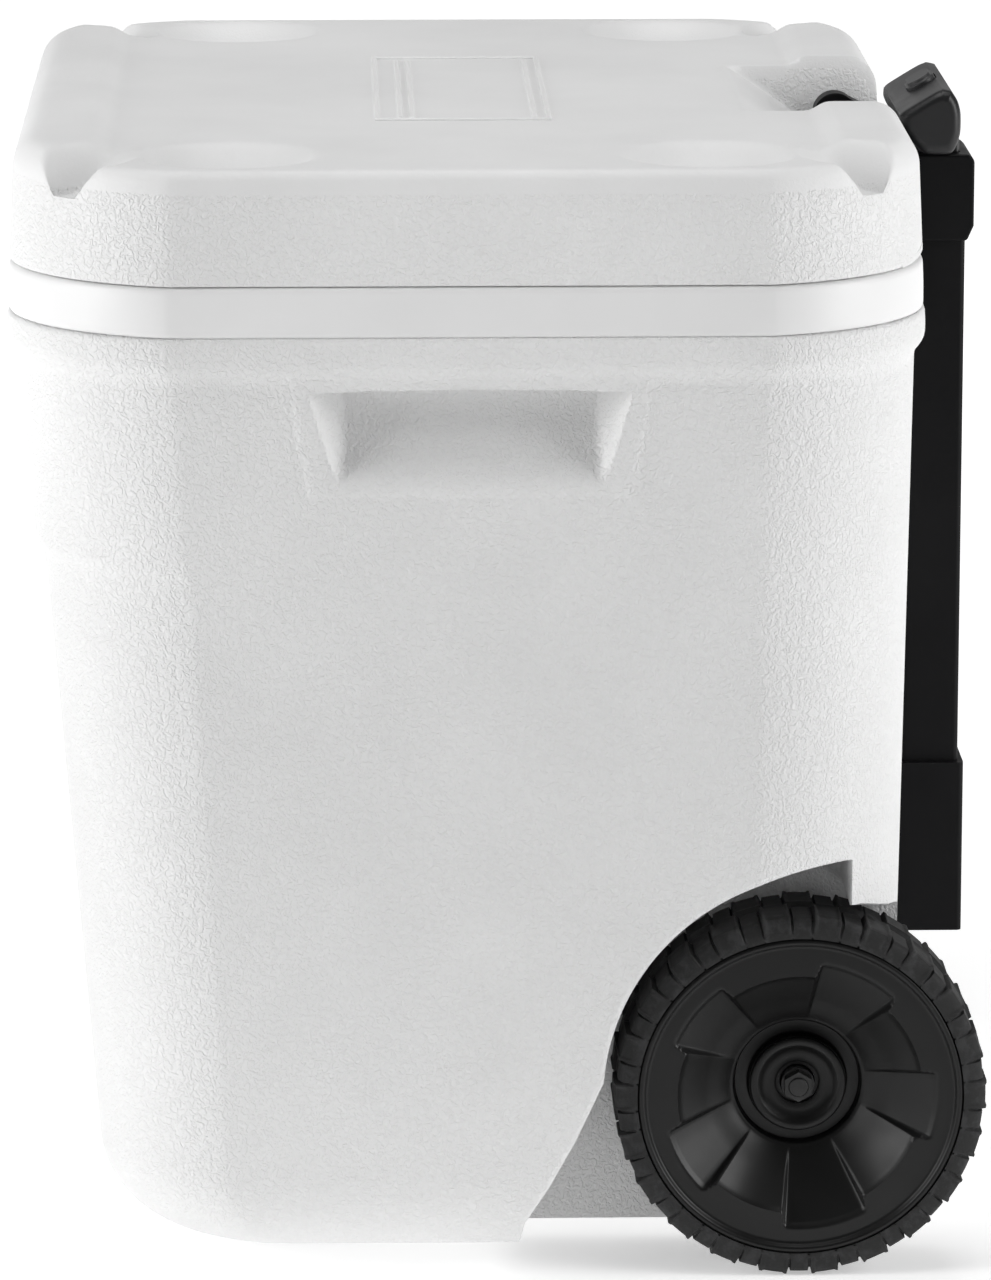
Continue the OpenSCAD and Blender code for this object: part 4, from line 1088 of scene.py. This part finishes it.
def build_plaque():
    low, high = mm_box("lid_plaque")
    z0, z1 = low[2] - 0.4, high[2] - 0.3
    x, y = high[0], high[1]
    bars = [(-x, x, -y, -y + BAR), (-x, x, y - BAR, y), (-x, -x + BAR, -y, y), (x - BAR, x, -y, y)]
    bars += [(-x + 14, x - 6, start, start + BAR) for start in (-y + 12, -y + 18, y - 10)]
    base = None
    for x0, x1, y0, y1 in bars:
        bar = cuboid("plaque_bar", x0, x1, y0, y1, z0, z1)
        base = bar if base is None else cut(base, bar, "UNION")
    base.name = "plaque_frame"
    bevel(base, 0.9)
    return finish_piece(base, "lid", [MATS["lid_top"]], ["lid_plaque"], 60)


build_plaque()


# ---------- camera, light, floor ----------
LENS, SENSOR = 196.9, 36
CAMERA_AT, CAMERA_AIM = (3.678, -0.0925, 1.0905), (0.295, -0.0079, 0.3405)
WORLD_LIGHT = 0.08
FLOOR_HALF = 30
# the floor's own glow, by distance in metres from a place in front of the wheels
GLOW_FROM, GLOW_SPAN = (1.6, 0, 0), 5.0
GLOW = [(0.85, 0.08), (1.15, 0.42), (2.2, 0.5), (4.2, 1.0)]
# name, place, target, size, power
LIGHTS = [
    ("front_side", (0.9, -2.2, 1.0), (0.1, 0, 0.35), (1.0, 1.6), 33),
    ("back_side", (0.9, 2.2, 1.0), (0.1, 0, 0.35), (1.0, 1.6), 30),
    ("overhead", (0.0, 0.0, 2.6), (0, 0, 0.3), (1.8, 1.8), 27),
    ("backdrop", (-3.0, 0.0, 1.45), (0, 0, 1.0), (5.0, 1.8), 14),
]


def build_stage():
    scene = bpy.context.scene
    scene.view_settings.view_transform = "Standard"
    scene.view_settings.look = "None"
    cam_data = bpy.data.cameras.new("camera")
    cam_data.lens = LENS
    cam_data.sensor_width = SENSOR
    cam_data.clip_end = 50
    cam = bpy.data.objects.new("camera", cam_data)
    scene.collection.objects.link(cam)
    cam.location = CAMERA_AT
    aim = Vector(CAMERA_AIM) - cam.location
    cam.rotation_euler = aim.to_track_quat("-Z", "Y").to_euler()
    scene.camera = cam

    world = bpy.data.worlds.new("studio")
    world.use_nodes = True
    world.node_tree.nodes["Background"].inputs[0].default_value = (1, 1, 1, 1)
    world.node_tree.nodes["Background"].inputs[1].default_value = WORLD_LIGHT
    scene.world = world

    floor_mat = bpy.data.materials.new("floor_white")
    floor_mat.use_nodes = True
    b = floor_mat.node_tree.nodes["Principled BSDF"]
    b.inputs["Base Color"].default_value = (0.85, 0.85, 0.85, 1)
    b.inputs["Roughness"].default_value = 0.9
    b.inputs["Specular IOR Level"].default_value = 0.1
    b.inputs["Emission Color"].default_value = (1, 1, 1, 1)
    tree = floor_mat.node_tree
    spot = tree.nodes.new("ShaderNodeTexCoord")
    away = tree.nodes.new("ShaderNodeVectorMath")
    away.operation = "DISTANCE"
    away.inputs[1].default_value = GLOW_FROM
    span = tree.nodes.new("ShaderNodeMapRange")
    span.inputs["From Max"].default_value = GLOW_SPAN
    glow = tree.nodes.new("ShaderNodeValToRGB")
    ramp = glow.color_ramp
    while len(ramp.elements) < len(GLOW):
        ramp.elements.new(0.5)
    for e, (distance, v) in zip(ramp.elements, GLOW):
        e.position = distance / GLOW_SPAN
        e.color = (v, v, v, 1)
    tree.links.new(spot.outputs["Object"], away.inputs[0])
    tree.links.new(away.outputs["Value"], span.inputs["Value"])
    tree.links.new(span.outputs["Result"], glow.inputs["Fac"])
    tree.links.new(glow.outputs["Color"], b.inputs["Emission Strength"])
    mesh = bpy.data.meshes.new("floor")
    s = FLOOR_HALF
    mesh.from_pydata([(-s, -s, 0), (s, -s, 0), (s, s, 0), (-s, s, 0)], [], [(0, 1, 2, 3)])
    mesh.materials.append(floor_mat)
    floor = bpy.data.objects.new("floor", mesh)
    scene.collection.objects.link(floor)

    for name, place, target, size, power in LIGHTS:
        data = bpy.data.lights.new(name, "AREA")
        data.shape = "RECTANGLE"
        data.size, data.size_y = size
        data.energy = power
        lamp = bpy.data.objects.new(name, data)
        scene.collection.objects.link(lamp)
        lamp.location = place
        lamp.rotation_euler = (Vector(target) - Vector(place)).to_track_quat("-Z", "Y").to_euler()


build_stage()

for name, obj in frame["nodes"].items():
    slot = SLOT_OF.get(name)
    if slot in MATS:
        obj.data.materials.clear()
        obj.data.materials.append(MATS[slot])
